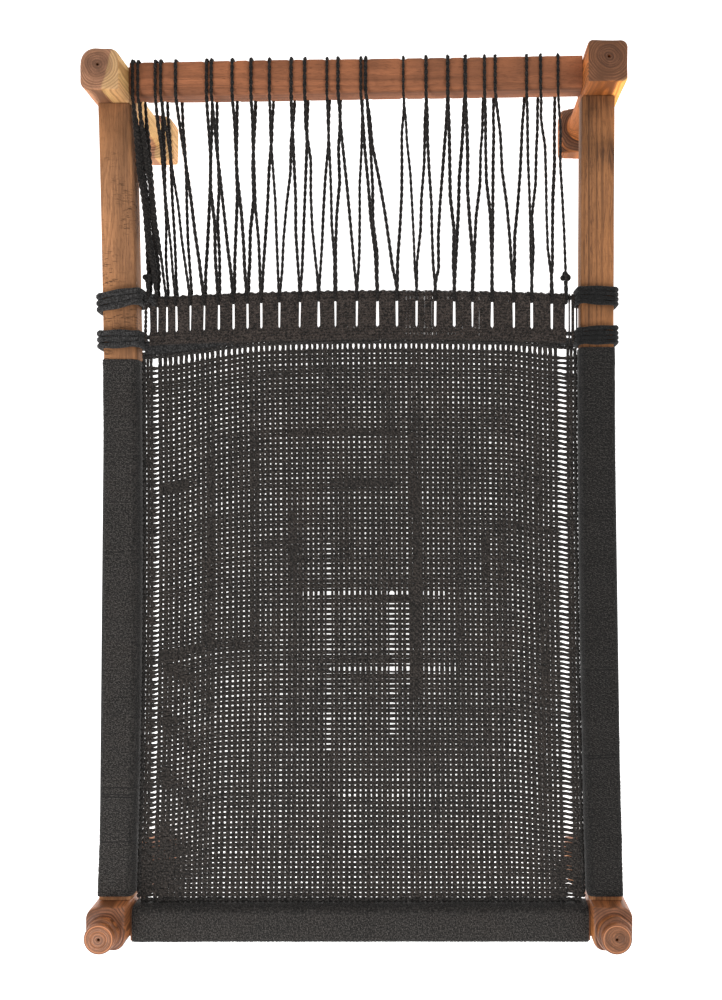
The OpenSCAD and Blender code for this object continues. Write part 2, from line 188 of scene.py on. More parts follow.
def band_line(x):
    """y of the upper cross rope at x: an arch between its two lashings."""
    u = (x - BAND_MIDDLE) / BAND_HALF
    return (BAND_LEFT + BAND_RIGHT) / 2 + (BAND_RIGHT - BAND_LEFT) / 2 * u + BAND_ARCH * (1 - u * u)


def lower_line(x):
    """y of the lower cross rope at x."""
    return band_line(x) - BAND_LENGTH


def node_span(node, axis):
    """Where a CAD node starts and ends along an axis."""
    low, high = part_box(node)
    return low[axis], high[axis]


# ---------------------------------------------------------------------------------------------- settings
def colour(name, description, default):
    """A setting that is a colour."""
    return FloatVectorProperty(
        name=name, description=description, default=default, subtype="COLOR", size=3, min=0, max=1)


def length(name, description, default):
    """A setting that is a length in metres."""
    return FloatProperty(name=name, description=description, default=default, unit="LENGTH", min=0)


class WoodSettings(bpy.types.PropertyGroup):
    """Colours and grain of the legs and rails."""
    heart: colour("Heartwood", "Colour of the dark wood of the rails", (0.30, 0.135, 0.068))
    dark: colour("Dark grain", "Colour of the grain lines", (0.105, 0.045, 0.026))
    sap: colour("Sapwood", "Colour of the pale outer wood", (0.74, 0.49, 0.24))
    orange: colour("Side grain", "Colour of freshly cut side grain", (0.50, 0.215, 0.085))
    ring: length("Ring width", "Distance between growth rings", 3.2 * MM)
    wear: length("Wear", "Depth of the hand tool marks on hewn wood", 1.1 * MM)


class StringSettings(bpy.types.PropertyGroup):
    """The black string and cord."""
    black: colour("String", "Colour of the string", (0.040, 0.036, 0.033))
    brown: colour("Faded string", "Colour of the string where it has faded", (0.075, 0.058, 0.048))
    rope: colour("Rope", "Colour of the ropes and lashings", (0.026, 0.025, 0.025))
    diameter: length("String diameter", "Diameter of one string", 2.8 * MM)
    ply: length("Ply radius", "Radius of each of the lacing cord's two plies", 2.5 * MM)
    twist: length("Twist length", "Length in which the lacing cord's plies turn once", 30 * MM)


class WebSettings(bpy.types.PropertyGroup):
    """The weave of the web."""
    columns: IntProperty(name="Columns", description="String groups along the bed", default=76, min=10)
    rows: IntProperty(name="Rows", description="String groups across the bed", default=109, min=10)
    cover: FloatProperty(name="Cover", description="Share of the pitch that a string group covers",
                         default=0.785, min=0.3, max=1, subtype="FACTOR")
    sag: length("Sag", "How far the middle of the web hangs below its edges", 5 * MM)
    rim: length("Rim", "Close groups beside each edge", 14 * MM)
    left_gap: length("Left gap", "Open column near the left edge", 9.5 * MM)
    right_gap: length("Right gap", "Open column near the right edge", 17 * MM)


class StageSettings(bpy.types.PropertyGroup):
    """The camera and the lights."""
    camera_at: FloatVectorProperty(name="Camera", description="Where the camera stands", subtype="XYZ",
                                   unit="LENGTH", size=3, default=(0.1535, 0.008, 2.45))
    key: FloatProperty(name="Key light", description="Power of the key light in watts", default=95, min=0)
    fill: FloatProperty(name="Fill light", description="Power of the fill light in watts", default=32, min=0)
    sky: FloatProperty(name="Sky", description="Brightness of the studio's surroundings", default=0.52, min=0)


class DaybedSettings(bpy.types.PropertyGroup):
    """All the daybed's settings."""
    wood: PointerProperty(type=WoodSettings)
    string: PointerProperty(type=StringSettings)
    web: PointerProperty(type=WebSettings)
    stage: PointerProperty(type=StageSettings)


# ------------------------------------------------------------------------------------------- shader maths
class Maths:
    """Wraps a socket, so that shader maths is written as an expression."""

    def __init__(self, tree, socket):
        self.tree = tree
        self.socket = socket

    def _maths(self, operation, *values):
        return add_node(self.tree, "ShaderNodeMath", {"operation": operation}, dict(enumerate(values)))

    def __add__(self, other):
        return self._maths("ADD", self, other)

    def __radd__(self, other):
        return self._maths("ADD", other, self)

    def __sub__(self, other):
        return self._maths("SUBTRACT", self, other)

    def __rsub__(self, other):
        return self._maths("SUBTRACT", other, self)

    def __mul__(self, other):
        return self._maths("MULTIPLY", self, other)

    def __rmul__(self, other):
        return self._maths("MULTIPLY", other, self)

    def __truediv__(self, other):
        return self._maths("DIVIDE", self, other)

    def sine(self):
        return self._maths("SINE", self)

    def root(self):
        return self._maths("SQRT", self)

    def fraction(self):
        return self._maths("FRACT", self)

    def absolute(self):
        return self._maths("ABSOLUTE", self)

    def above(self, low, high):
        """0 at low, 1 at high, and smooth between them."""
        return add_node(self.tree, "ShaderNodeMapRange", {"interpolation_type": "SMOOTHSTEP"},
                        {"Value": self, "From Min": low, "From Max": high, "To Min": 0, "To Max": 1})


def add_node(tree, kind, settings=None, links=None, out=0):
    """A node with its settings, its sockets' values or links, and its output as a Maths."""
    made = tree.nodes.new(kind)
    for key, value in (settings or {}).items():
        if key == "stops":
            ramp = made.color_ramp
            while len(ramp.elements) < len(value):
                ramp.elements.new(0.5)
            for element, (position, shade) in zip(ramp.elements, value):
                element.position = position
                element.color = (*shade, 1)
        else:
            setattr(made, key, value)
    for key, value in (links or {}).items():
        if isinstance(value, Maths):
            tree.links.new(value.socket, made.inputs[key])
        else:
            made.inputs[key].default_value = value
    return Maths(tree, made.outputs[out])


class Finish:
    """A material in the making, with the patterns that the finishes share."""

    def __init__(self, name):
        self.material = bpy.data.materials.new(name)
        self.material.use_nodes = True
        self.tree = self.material.node_tree
        self.tree.nodes.clear()
        self.place = self.node("ShaderNodeTexCoord", out="Object")

    def node(self, kind, settings=None, links=None, out=0):
        return add_node(self.tree, kind, settings, links, out)

    def moved(self, offset=(0, 0, 0), stretch=(1, 1, 1)):
        """Object coordinates after a stretch and a move."""
        return self.node("ShaderNodeMapping", {}, {"Vector": self.place, "Location": offset, "Scale": stretch})

    def axis(self, vector, which):
        return self.node("ShaderNodeSeparateXYZ", {}, {"Vector": vector}, out=which)

    def noise(self, vector, scale, detail=3.0, rough=0.55):
        return self.node("ShaderNodeTexNoise", {}, {
            "Vector": vector, "Scale": scale, "Detail": detail, "Roughness": rough})

    def ramp(self, value, stops):
        return self.node("ShaderNodeValToRGB", {"stops": stops}, {"Fac": value})

    def mix(self, factor, a, b, blend="MIX"):
        """Mixes two colours."""
        made = self.tree.nodes.new("ShaderNodeMix")
        made.data_type = "RGBA"
        made.blend_type = blend
        for key, value in ((0, factor), (6, a), (7, b)):
            if isinstance(value, Maths):
                self.tree.links.new(value.socket, made.inputs[key])
            else:
                made.inputs[key].default_value = (*value, 1) if key else value
        return Maths(self.tree, made.outputs[2])

    def attribute(self, name):
        """A value that the mesh holds for each vertex."""
        return self.node("ShaderNodeAttribute", {"attribute_name": name}, out="Fac")

    def uv(self, which):
        """One axis of the piece's own UV map."""
        at = self.node("ShaderNodeUVMap", {"uv_map": "UVMap"})
        return self.axis(at, which)

    def finish(self, base, roughness, height, depth, strength=1.0, coat=0.0, sheen=0.0):
        """The shader: base colour, roughness, and a bump that is depth metres high where height is 1."""
        bump = self.node("ShaderNodeBump", {}, {"Height": height, "Distance": depth, "Strength": strength})
        links = {"Base Color": base, "Roughness": roughness, "Normal": bump, "Specular IOR Level": 0.3}
        if coat:
            links.update({"Coat Weight": coat, "Coat Roughness": 0.25})
        if sheen:
            links.update({"Sheen Weight": sheen, "Sheen Roughness": 0.5})
        shader = self.node("ShaderNodeBsdfPrincipled", {}, links)
        return self.output(shader)

    def output(self, shader):
        """Ends the material with that shader."""
        made = self.tree.nodes.new("ShaderNodeOutputMaterial")
        self.tree.links.new(shader.socket, made.inputs["Surface"])
        return self.material


# --------------------------------------------------------------------------------------------- the finishes
def tint(shade, *factors):
    """A colour made darker or lighter, by one factor or by one for each of red, green and blue."""
    return tuple(min(1, part * factor) for part, factor in zip(shade, factors * 3))


class Wood(Finish):
    """Wood grown round a pith line that runs along one axis, made of layers of colour. Each layer takes the colour
    so far and gives the next."""

    def __init__(self, name, wood, pith, along, base, ring, streak):
        super().__init__(name)
        self.base, self.dark, self.ring, self.streak = base, tuple(wood.dark), ring, streak
        self.grain = {"X": (0.05, 1, 1), "Y": (1, 0.05, 1), "Z": (1, 1, 0.05)}[along]
        across = {"X": ("Y", "Z"), "Y": ("X", "Z"), "Z": ("X", "Y")}[along]
        self.fibre = self.moved(stretch=self.grain)
        self.at = self.moved(offset=tuple(-c for c in pith))
        self.bend = self.noise(self.moved(stretch=tuple(0.25 if g < 1 else 1 for g in self.grain)), 13, 2) - 0.5
        a = self.axis(self.at, across[0]) + self.bend * 0.022
        b = self.axis(self.at, across[1]) + self.bend * 0.015
        distance = (a * a + b * b).root()
        uneven = self.node("ShaderNodeTexNoise", {"noise_dimensions": "1D"}, {
            "W": distance, "Scale": 0.62 / wood.ring, "Detail": 4.0, "Roughness": 0.7})
        even = (distance / (wood.ring * 1.6)).fraction()
        self.rings = uneven.above(0.48, 0.57) * 0.75 + even.above(0.60, 0.92) * 0.6
        self.fine = self.noise(self.fibre, 520, 3, 0.7)
        self.broad = self.noise(self.fibre, 30, 4, 0.65)
        self.patches = self.noise(self.place, 16, 4, 0.65)

    def heartwood(self):
        """The wood's body, with its rings, fibres and stains."""
        base = self.base
        tone = self.ramp(self.broad, [(0.30, tint(base, 0.58)), (0.5, base), (0.72, tint(base, 1.42))])
        line = tuple((c + d) * 0.33 for c, d in zip(base, self.dark))
        tone = self.mix(self.rings * 0.55 * self.ring, tone, line)
        tone = self.mix(self.fine.above(0.50, 0.66) * 0.42 * self.streak, tone, self.dark)
        return self.mix(self.patches.above(0.54, 0.74) * 0.5, tone, tint(base, 0.5))

    def sapwood(self, tone, direction, start, shade):
        """The pale wood on one side, further than start from the pith."""
        out = self.axis(self.at, "X") * direction[0] + self.axis(self.at, "Y") * direction[1] + self.bend * 0.022
        pale = self.mix(self.rings * 0.5 * self.ring, shade, tint(shade, 0.60, 0.50, 0.40))
        pale = self.mix(self.fine.above(0.48, 0.66) * 0.35 * self.streak, pale, tint(shade, 0.62))
        pale = self.mix(self.patches.above(0.5, 0.8) * 0.4, pale, tint(shade, 0.8, 0.62, 0.45))
        return self.mix(out.above(start, start + 5 * MM), tone, pale)

    def side_grain(self, tone, shade):
        """What doesn't face up isn't end grain."""
        flank = 1 - self.axis(self.node("ShaderNodeNewGeometry", out="Normal"), "Z").above(0.45, 0.8)
        return self.mix(flank, tone, self.mix(1.0, tone, shade, "MULTIPLY"))

    def dulled(self, tone, start, stop):
        """Dull wood towards the foot end, as stain and painted shade, and stained wood beside the lashings."""
        y = self.axis(self.place, "Y")
        # Darker towards the foot end: partly stain, partly painted shade near the foot legs
        stain_and_painted_shade = y.above(start, stop) * (0.35 + self.patches * 0.9)
        for rope in (BAND_LEFT, BAND_LEFT - BAND_LENGTH):
            stain_and_painted_shade = stain_and_painted_shade + (1 - (y - rope).absolute().above(18 * MM, 62 * MM)) * 0.55
        return self.mix(stain_and_painted_shade, tone, self.mix(1.0, tone, (0.50, 0.47, 0.42), "MULTIPLY"))

    def turned_top(self, tone, disc, shade, painted_highlight):
        """The disc turned on top of a leg, with the tool's fine rings, a painted highlight along its edge and a
        painted shadow round its rim.
        """
        x, y = self.axis(self.at, "X"), self.axis(self.at, "Y")
        radius = (x * x + y * y).root()
        top = self.axis(self.place, "Z").above(LEG_TOP - 4 * MM, LEG_TOP - 2 * MM)
        inside = (1 - radius.above(disc - 0.8 * MM, disc)) * top
        lines = (radius / (4.6 * MM)).fraction().above(0.70, 0.92) * inside
        # Painted highlight: a bright ring just inside the disc's edge
        edge = radius.above(disc - 2.8 * MM, disc - 2 * MM) * inside
        # Painted shadow: a dark ring round the disc, where its top falls away
        rim = radius.above(disc - 1 * MM, disc) * (1 - radius.above(disc + 1 * MM, disc + 2 * MM)) * top
        tone = self.mix(inside, tone, self.mix(1.0, tone, shade, "MULTIPLY"))
        tone = self.mix(lines * 0.6, tone, tint(self.base, 0.42))
        tone = self.mix(edge * painted_highlight, tone, tint(self.base, 2.5, 2.7, 2.7))
        return self.mix(rim * 0.7, tone, tint(self.base, 0.4))

    def saw_cuts(self, amount):
        """Where the saw's marks across the grain are left."""
        marks = self.noise(self.moved(stretch=tuple(0.16 if g == 1 else 1 for g in self.grain)), 420, 2, 0.7)
        return marks.above(0.56, 0.66) * self.noise(self.place, 9, 2).above(0.46, 0.62) * amount


def wood_finish(name, wood, pith, along, base, sap=None, polish=0.0, ring=1.0, streak=1.0, sawn=0.0,
                side=None, dull=None, turned=None):
    """A wood. sap is its pale side: a direction, a distance and a colour. ring, streak and sawn are how strong its
    rings, its fibres and the saw's marks are. side tints its side grain, dull is the stretch along Y over which it
    darkens, partly stain and partly painted shade, and turned is the disc on a leg's top: its radius, its tint and
    how strong the painted highlight on its edge is."""
    made = Wood(name, wood, pith, along, base, ring, streak)
    tone = made.heartwood()
    if sap:
        tone = made.sapwood(tone, *sap)
    if side:
        tone = made.side_grain(tone, side)
    if dull:
        tone = made.dulled(tone, *dull)
    if turned:
        tone = made.turned_top(tone, *turned)
    tone = made.mix(made.attribute("wear") * 0.55, tone, tint(base, 2.0, 1.9, 1.7))
    pores = made.noise(made.fibre, 1300, 2, 0.5).above(0.60, 0.68)
    if sawn:
        cuts = made.saw_cuts(sawn)
        tone = made.mix(cuts * 0.55, tone, tint(base, 0.36))
        pores = pores + cuts * 1.5
    tone = made.mix(pores * 0.4, tone, tint(base, 0.30))
    roughness = 0.56 - polish * 0.26 + made.fine * 0.18 + made.patches * 0.1
    height = made.fine * 0.5 + made.broad * 0.7 + made.rings * 0.22 - pores * 0.5
    return made.finish(tone, roughness, height, 0.8 * MM, strength=0.8 - polish * 0.3, coat=polish * 0.15)


def string_finish(name, colours, twist, across, sheen=0.1, fade=0.5, painted_valley_shade=0.6):
    """Spun string: its own colour, its faded colour, the length of its twist and how many ridges run round it. The
    UV map runs round it in u and along it in metres in v. fade is how much of it has faded, and spun is how dark
    the painted shade in the valleys between the ridges is."""
    black, brown = colours
    made = Finish(name)
    u, v = made.uv("X"), made.uv("Y")
    spin = ((u * across + v / twist) * math.tau).sine() * 0.5 + 0.5
    fuzz = made.noise(made.place, 780, 3, 0.75)
    speck = made.noise(made.place, 290, 3, 0.8)
    patch = made.noise(made.place, 12, 4, 0.62)
    tone = made.mix(patch.above(0.40, 0.70) * fade, black, brown)
    tone = made.mix(speck.above(0.52, 0.57), tone, tint(black, 3.4))
    tone = made.mix(speck.above(0.48, 0.43), tone, tint(black, 0.2))
    # Painted shade in the valleys between the twist's ridges
    tone = made.mix((1 - spin) * painted_valley_shade, tone, tint(black, 0.25))
    # Painted shade: where the mesh's own attribute says the string lies deep, it is darkened
    tone = made.mix(made.attribute("wear") * 0.8, tone, tint(black, 0.25))
    height = spin * 0.8 + fuzz * 0.8 + speck * 0.5
    return made.finish(tone, 0.70 + fuzz * 0.25, height, 0.9 * MM, strength=0.9, sheen=sheen)


# ---------------------------------------------------------------------------------------- modelling helpers
def deselect():
    """Nothing is selected, and nothing is in edit mode."""
    if bpy.context.object and bpy.context.object.mode != "OBJECT":
        bpy.ops.object.mode_set(mode="OBJECT")
    bpy.ops.object.select_all(action="DESELECT")


def take(obj):
    """Only this piece is selected, and active."""
    deselect()
    bpy.context.view_layer.objects.active = obj
    obj.select_set(True)


def editing(obj, select_all=True):
    """Starts edit mode on a piece, with all of it or nothing selected."""
    take(obj)
    bpy.ops.object.mode_set(mode="EDIT")
    bpy.ops.mesh.select_all(action="SELECT" if select_all else "DESELECT")


def points(obj):
    """The piece's vertices, as rows of x, y and z."""
    co = np.empty(len(obj.data.vertices) * 3)
    obj.data.vertices.foreach_get("co", co)
    return co.reshape(-1, 3)


def place(obj, co):
    """Puts the piece's vertices there."""
    obj.data.vertices.foreach_set("co", np.asarray(co, float).ravel())
    obj.data.update()


def note(obj, name, values):
    """Writes one value for each vertex, for its material to read."""
    attribute = obj.data.attributes.get(name) or obj.data.attributes.new(name, "FLOAT", "POINT")
    attribute.data.foreach_set("value", np.asarray(values, float).ravel())


def loft(name, strips, closed=False, wear=None):
    """A skin over strips of rings. Each strip is an array of rings, each ring of points, each point x, y and z.
    A closed strip's last ring joins its first, and the ends of an open one are filled. wear gives each strip's
    points a value for the finish: worn edges on the wood, and painted shade in the wound string's valleys."""
    sides = strips[0].shape[1]
    if closed:
        strips = [np.concatenate([s, s[:1]]) for s in strips]
    rows = np.concatenate(strips)
    rows = np.concatenate([rows, rows[:, :1]], axis=1)
    count = len(rows)
    deselect()
    bpy.ops.mesh.primitive_grid_add(x_subdivisions=sides, y_subdivisions=count - 1, size=1)
    obj = bpy.context.object
    obj.name = obj.data.name = name
    place(obj, rows.reshape(-1, 3))
    if wear is not None:
        full = np.concatenate([np.concatenate([w, w[:1]]) if closed else w for w in wear])
        note(obj, "wear", np.concatenate([full, full[:, :1]], axis=1))
    along = []
    for s in strips:
        steps = np.linalg.norm(np.diff(s.mean(axis=1), axis=0), axis=1)
        along.append(np.concatenate([[0], np.cumsum(steps)]))
    v = np.concatenate(along)
    corner = np.empty(len(obj.data.loops), np.int32)
    obj.data.loops.foreach_get("vertex_index", corner)
    uv = np.stack([(corner % (sides + 1)) / sides, v[corner // (sides + 1)]], axis=1)
    obj.data.uv_layers.active.data.foreach_set("uv", uv.ravel())
    # The grid's faces between one strip's last ring and the next one's first go
    ends = np.cumsum([len(s) for s in strips])[:-1]
    editing(obj, select_all=False)
    if len(ends):
        mesh = bmesh.from_edit_mesh(obj.data)
        mesh.faces.ensure_lookup_table()
        for end in ends:
            for k in range(sides):
                mesh.faces[(end - 1) * sides + k].select = True
        bmesh.update_edit_mesh(obj.data)
        bpy.ops.mesh.delete(type="FACE")
    bpy.ops.mesh.select_all(action="SELECT")
    bpy.ops.mesh.remove_doubles(threshold=1e-6)
    if not closed:
        bpy.ops.mesh.fill_holes(sides=0)
    bpy.ops.mesh.select_all(action="SELECT")
    bpy.ops.mesh.normals_make_consistent(inside=False)
    bpy.ops.object.mode_set(mode="OBJECT")
    return obj


def finished(obj, material, slot, *nodes, angle=None):
    """Gives a piece its material and its place in the frame. Past that angle its edges stay sharp."""
    obj.data.materials.clear()
    obj.data.materials.append(material)
    take(obj)
    if angle is None:
        bpy.ops.object.shade_smooth()
    else:
        bpy.ops.object.shade_smooth_by_angle(angle=math.radians(angle))
    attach(obj, "root")
    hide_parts(*nodes)
    deselect()
    return obj


def unit(v):
    """Vectors of length 1."""
    return v / np.maximum(np.linalg.norm(v, axis=-1, keepdims=True), 1e-12)


def frames_along(path, start=(0.123, 0.456, 0.881)):
    """Two directions square to the path at each point, carried along it without twisting."""
    tangent = unit(np.gradient(path, axis=0))
    side = np.empty_like(path)
    v = np.array(start, float)
    for i, t in enumerate(tangent):
        v = v - t * v.dot(t)
        v = v / np.linalg.norm(v)
        side[i] = v
    return side, np.cross(tangent, side)


def tube(path, radius, sides, start=(0.123, 0.456, 0.881), flat=1.0):
    """Rings round a path. radius is one value or one for each point; flat squashes the second direction."""
    a, b = frames_along(path, start)
    radius = np.broadcast_to(radius, len(path))[:, None, None]
    angle = (np.arange(sides) / sides * math.tau)[None, :, None]
    return path[:, None] + radius * (np.cos(angle) * a[:, None] + flat * np.sin(angle) * b[:, None])


def rounded(corners, radius):
    """A path through corners, each turned into a curve that starts and ends that far from it."""
    path = [corners[0]]
    for before, at, after in zip(corners, corners[1:], corners[2:]):
        into, out = at - before, after - at
        reach = min(radius, np.linalg.norm(into) * 0.48, np.linalg.norm(out) * 0.48)
        first, last = at - into / np.linalg.norm(into) * reach, at + out / np.linalg.norm(out) * reach
        for i in range(6):
            t = i / 5
            path.append(first * (1 - t) ** 2 + at * 2 * t * (1 - t) + last * t * t)
    path.append(corners[-1])
    return np.array(path)


def spaced(path, step):
    """The path with a point about every step."""
    lengths = np.concatenate([[0], np.cumsum(np.linalg.norm(np.diff(path, axis=0), axis=1))])
    keep = np.concatenate([[True], np.diff(lengths) > 1e-7])
    path, lengths = path[keep], lengths[keep]
    at = np.linspace(0, lengths[-1], max(4, int(lengths[-1] / step)))
    return np.stack([np.interp(at, lengths, path[:, k]) for k in range(3)], axis=1)


def rough(co, scale, depth, stretch=(1, 1, 1), seed=0.0):
    """Noise for each point, between about -depth and depth."""
    flat = co.reshape(-1, 3)
    values = [noise.noise(Vector((p[0] * stretch[0] / scale + seed, p[1] * stretch[1] / scale,
                                  p[2] * stretch[2] / scale))) for p in flat]
    return np.array(values).reshape(co.shape[:-1]) * depth


def smooth(x, low, high):
    """0 at low, 1 at high, and smooth between them. low may be the larger."""
    t = np.clip((x - low) / (high - low), 0, 1)
    return t * t * (3 - 2 * t)


# ------------------------------------------------------------------------------------------------- the legs
def stock_outline(flare, outer_r, side_r, trim=(0, 0)):
    """Points round the leg stock, with the inner corner towards +X and +Y. outer_r and side_r are the radii of its
    outer corner and of the two beside it, and trim is what is hewn off the two outer faces."""
    arc, flat, inner_r = 9, 7, 5 * MM
    out_x, out_y = STOCK_OUT + flare - trim[0], STOCK_OUT + flare - trim[1]
    across, lengthwise = STOCK_IN + flare, STOCK_ALONG + flare
    corners = [(across - inner_r, lengthwise - inner_r, inner_r, 0),
               (side_r - out_x, lengthwise - side_r, side_r, 90),
               (outer_r - out_x, outer_r - out_y, outer_r, 180),
               (across - side_r, side_r - out_y, side_r, 270)]
    outline = []
    for i, (cx, cy, r, start) in enumerate(corners):
        for a in np.radians(np.linspace(start, start + 90, arc)):
            outline.append((cx + r * math.cos(a), cy + r * math.sin(a)))
        nx, ny, nr, nstart = corners[(i + 1) % 4]
        end = np.array([nx + nr * math.cos(math.radians(nstart)), ny + nr * math.sin(math.radians(nstart))])
        last = np.array(outline[-1])
        for k in range(1, flat):
            outline.append(tuple(last + (end - last) * k / flat))
    return np.array(outline)


def leg_profile(bead):
    """A leg from its foot to its top, in millimetres: height, the most that its radius can be, and how far it is
    inside the stock. bead is the radius of the bead under a turned knob, or 0 for a hewn top."""
    wide = 90.0               # past the stock's corners, so that it stays square
    top = (LEG_TOP - (KNOB_HEIGHT if bead else 0)) / MM
    low, foot = RAIL_BOTTOM / MM, FOOT_HEIGHT / MM
    rows = [(0, 0.5, 0), (0, 30, 0), (0, 50, 1.5), (1.2, 53, .6), (4, 57, 0), (12, wide, 0)]
    rows += [(foot + up, r, 0) for up, r in (
        (-24, wide), (-16, 62), (-9, 56), (-3, 49), (0, 44), (2, 38), (3, 35), (9, 33), (18, 32), (34, SHAFT),
        (70, SHAFT))]
    rows += [(low + up, r, 0) for up, r in (
        (-110, SHAFT), (-74, SHAFT + .5), (-60, 33), (-50, 37), (-42, 42), (-34, 48), (-26, 54), (-14, wide),
        (10, wide), (40, wide), (70, wide))]
    if bead:
        rows += [(top + up, r, inset) for up, r, inset in (
            (-14, 66, 0), (-8, 61, 0), (-4, 55.5, .6), (-1.6, 50, 1.6), (-.2, 45, 3), (.5, 41, 5),
            (.2, bead + 2.2, 5), (.6, bead + .4, 5), (3, bead + .9, 5), (8, bead + .6, 5), (12, bead - 1.2, 5),
            (14.5, bead - 3.6, 5), (15.6, 30, 5), (17, 28.6, 5), (20, 28.9, 5), (24, 30.4, 5), (27.5, 31, 5),
            (29.8, 30.4, 5), (31.2, 29.4, 5), (31.4, 28.2, 5), (30.7, 27.2, 5), (30.9, 25.8, 5), (31.6, 24.4, 5),
            (31.7, 16.4, 5), (31.2, 15.6, 5), (31.7, 14.8, 5))]
        top += 32
    else:
        rows += [(top + up, r, inset) for up, r, inset in (
            (-14, wide, 0), (-6, 64, .3), (-3, 61, 1.2), (-1.4, 57, 2.8), (-.5, 49, 5), (0, 30, 6), (0, 16, 6))]
    # The hole that the lathe's centre left
    rows += [(top - down, r, 6) for down, r in ((0, 6), (.1, 3.4), (.7, 2.8), (6, 2.8), (13.6, 2.6), (14, .4))]
    rows = np.array(rows, float)
    t = np.linspace(0, len(rows) - 1, (len(rows) - 1) * 4 + 1)
    return np.stack([np.interp(t, range(len(rows)), rows[:, k]) for k in range(3)], axis=1) * MM


def leg(name, axis, side, end, bead, hewn, material, slot, outer_r, side_r, trim, seed):
    """One leg: square foot, turned shaft, square head with the rails' joints, and a hewn top or a turned knob.
    side and end are +1 where the bed's middle lies towards +X and +Y, and hewn is how deep the tool marks are."""
    foot = FOOT_HEIGHT
    line = leg_profile(bead)
    peak = line[:, 0].max()
    square = stock_outline(0, outer_r, side_r)
    head = stock_outline(0, outer_r, side_r, trim)
    flared = stock_outline(FOOT_FLARE, outer_r, side_r)
    rings, wears = [], []
    for z, limit, inset in line:
        outline = flared + (square - flared) * smooth(np.array(z), foot - 2 * MM, foot + 3 * MM)
        outline = outline + (head - square) * smooth(np.array(z), RAIL_BOTTOM - 40 * MM, RAIL_BOTTOM)
        reach = np.linalg.norm(outline, axis=1)
        r = np.minimum(reach - inset, limit)
        ring = outline * (r / reach)[:, None]
        rings.append(np.column_stack([ring, np.full(len(ring), z)]))
        corner = smooth(reach - inset - r, 2.5 * MM, 0) * smooth(reach, 50 * MM, 58 * MM)
        wears.append(corner * 0.5)
    rings, wears = np.array(rings), np.array(wears)
    # Hand-made unevenness, strongest on the hewn heads and none round the lathe mark
    radius = np.linalg.norm(rings[..., :2], axis=-1)
    depth = hewn * smooth(radius, 12 * MM, 30 * MM) * smooth(rings[..., 2], 20 * MM, 60 * MM)
    bumps = rough(rings, 45 * MM, 1, (1, 1, .5), seed) + rough(rings, 16 * MM, 0.35, (1, 1, .4), seed + 9)
    rings[..., :2] *= (1 + depth * bumps / np.maximum(radius, 4 * MM))[..., None]
    lift = smooth(rings[..., 2], peak - 6 * MM, peak - 2 * MM) * smooth(radius, 8 * MM, 26 * MM)
    rings[..., 2] += lift * hewn * (rough(rings, 30 * MM, 1.0, seed=seed + 3) - 0.25)
    rim = smooth(radius, 20 * MM, 27 * MM) * smooth(rings[..., 2], peak - 8 * MM, peak - 2 * MM)
    wears = np.maximum(wears, rim * (0.35 if bead else 0.25) * smooth(rings[..., 2], .40, .44))
    rings[..., 0] = axis[0] + side * rings[..., 0]
    rings[..., 1] = axis[1] + end * rings[..., 1]
    finished(loft(name, [rings], wear=[wears]), material, slot, name, angle=40)


class DAYBED_OT_legs(bpy.types.Operator):
    """Models the four legs, two with hewn heads and two with turned knobs"""
    bl_idname = "daybed.legs"
    bl_label = "Legs"

    def execute(self, context):
        wood = context.scene.daybed.wood
        sap, orange = tuple(wood.sap), tuple(wood.orange)
        grey, dark, red = (0.52, 0.255, 0.150), (0.220, 0.094, 0.046), (0.30, 0.120, 0.058)
        tops = {"polish": 0.8, "ring": 1.9, "side": (1.3, 1.15, 0.85)}
        pale = wood_finish("pale_hewn_wood", wood, (*FOOT_LEFT, 0), "Z", grey,
                           sap=((0.97, -0.24), 17 * MM, sap), ring=1.7, streak=0.9, side=(1.15, 1.05, 0.85),
                           turned=(29 * MM, (0.80, 0.78, 0.76), 0))
        brown = wood_finish("dark_hewn_wood", wood, (*FOOT_RIGHT, 0), "Z", dark,
                            sap=((0.55, -0.84), 52 * MM, sap), ring=2.2, side=(2.7, 1.9, 0.80),
                            turned=(31 * MM, (0.92, 0.90, 0.90), 0))
        # The last number of turned is how strong the painted highlight on the knob's edge is
        left = wood_finish("turned_wood_left", wood, (*HEAD_LEFT, 0), "Z", tint(red, 1.14),
                           sap=((-0.2, 0.98), 54 * MM, orange), turned=(28.2 * MM, (1.35, 1.35, 1.25), 0.8), **tops)
        right = wood_finish("turned_wood_right", wood, (*HEAD_RIGHT, 0), "Z", red,
                            sap=((-0.98, -0.2), 34 * MM, orange), turned=(28.2 * MM, (1.12, 1.15, 1.1), 0.8), **tops)
        hewn = wood.wear
        leg("leg_foot_left", FOOT_LEFT, 1, -1, 0, hewn * 1.4, pale, "pale_leg_wood", 31 * MM, 17 * MM,
            (2 * MM, 4.5 * MM), 1.0)
        leg("leg_foot_right", FOOT_RIGHT, -1, -1, 0, hewn, brown, "dark_leg_wood", 14 * MM, 9 * MM,
            (0, 3.5 * MM), 2.0)
        for name, axis, side, bead, finish, seed in (("leg_head_left", HEAD_LEFT, 1, 32.5, left, 3.0),
                                                     ("leg_head_right", HEAD_RIGHT, -1, 36.5, right, 4.0)):
            leg(name, axis, side, 1, bead, hewn * .5, finish, "turned_leg_wood", 33 * MM, 22 * MM, (0, 0), seed)
        return {"FINISHED"}


# ------------------------------------------------------------------------------------------------ the rails
def select_edges(obj, test):
    """Selects in edit mode the edges whose two ends pass a test."""
    mesh = bmesh.from_edit_mesh(obj.data)
    for edge in mesh.edges:
        edge.select = test(edge.verts[0].co, edge.verts[1].co)
    bmesh.update_edit_mesh(obj.data)


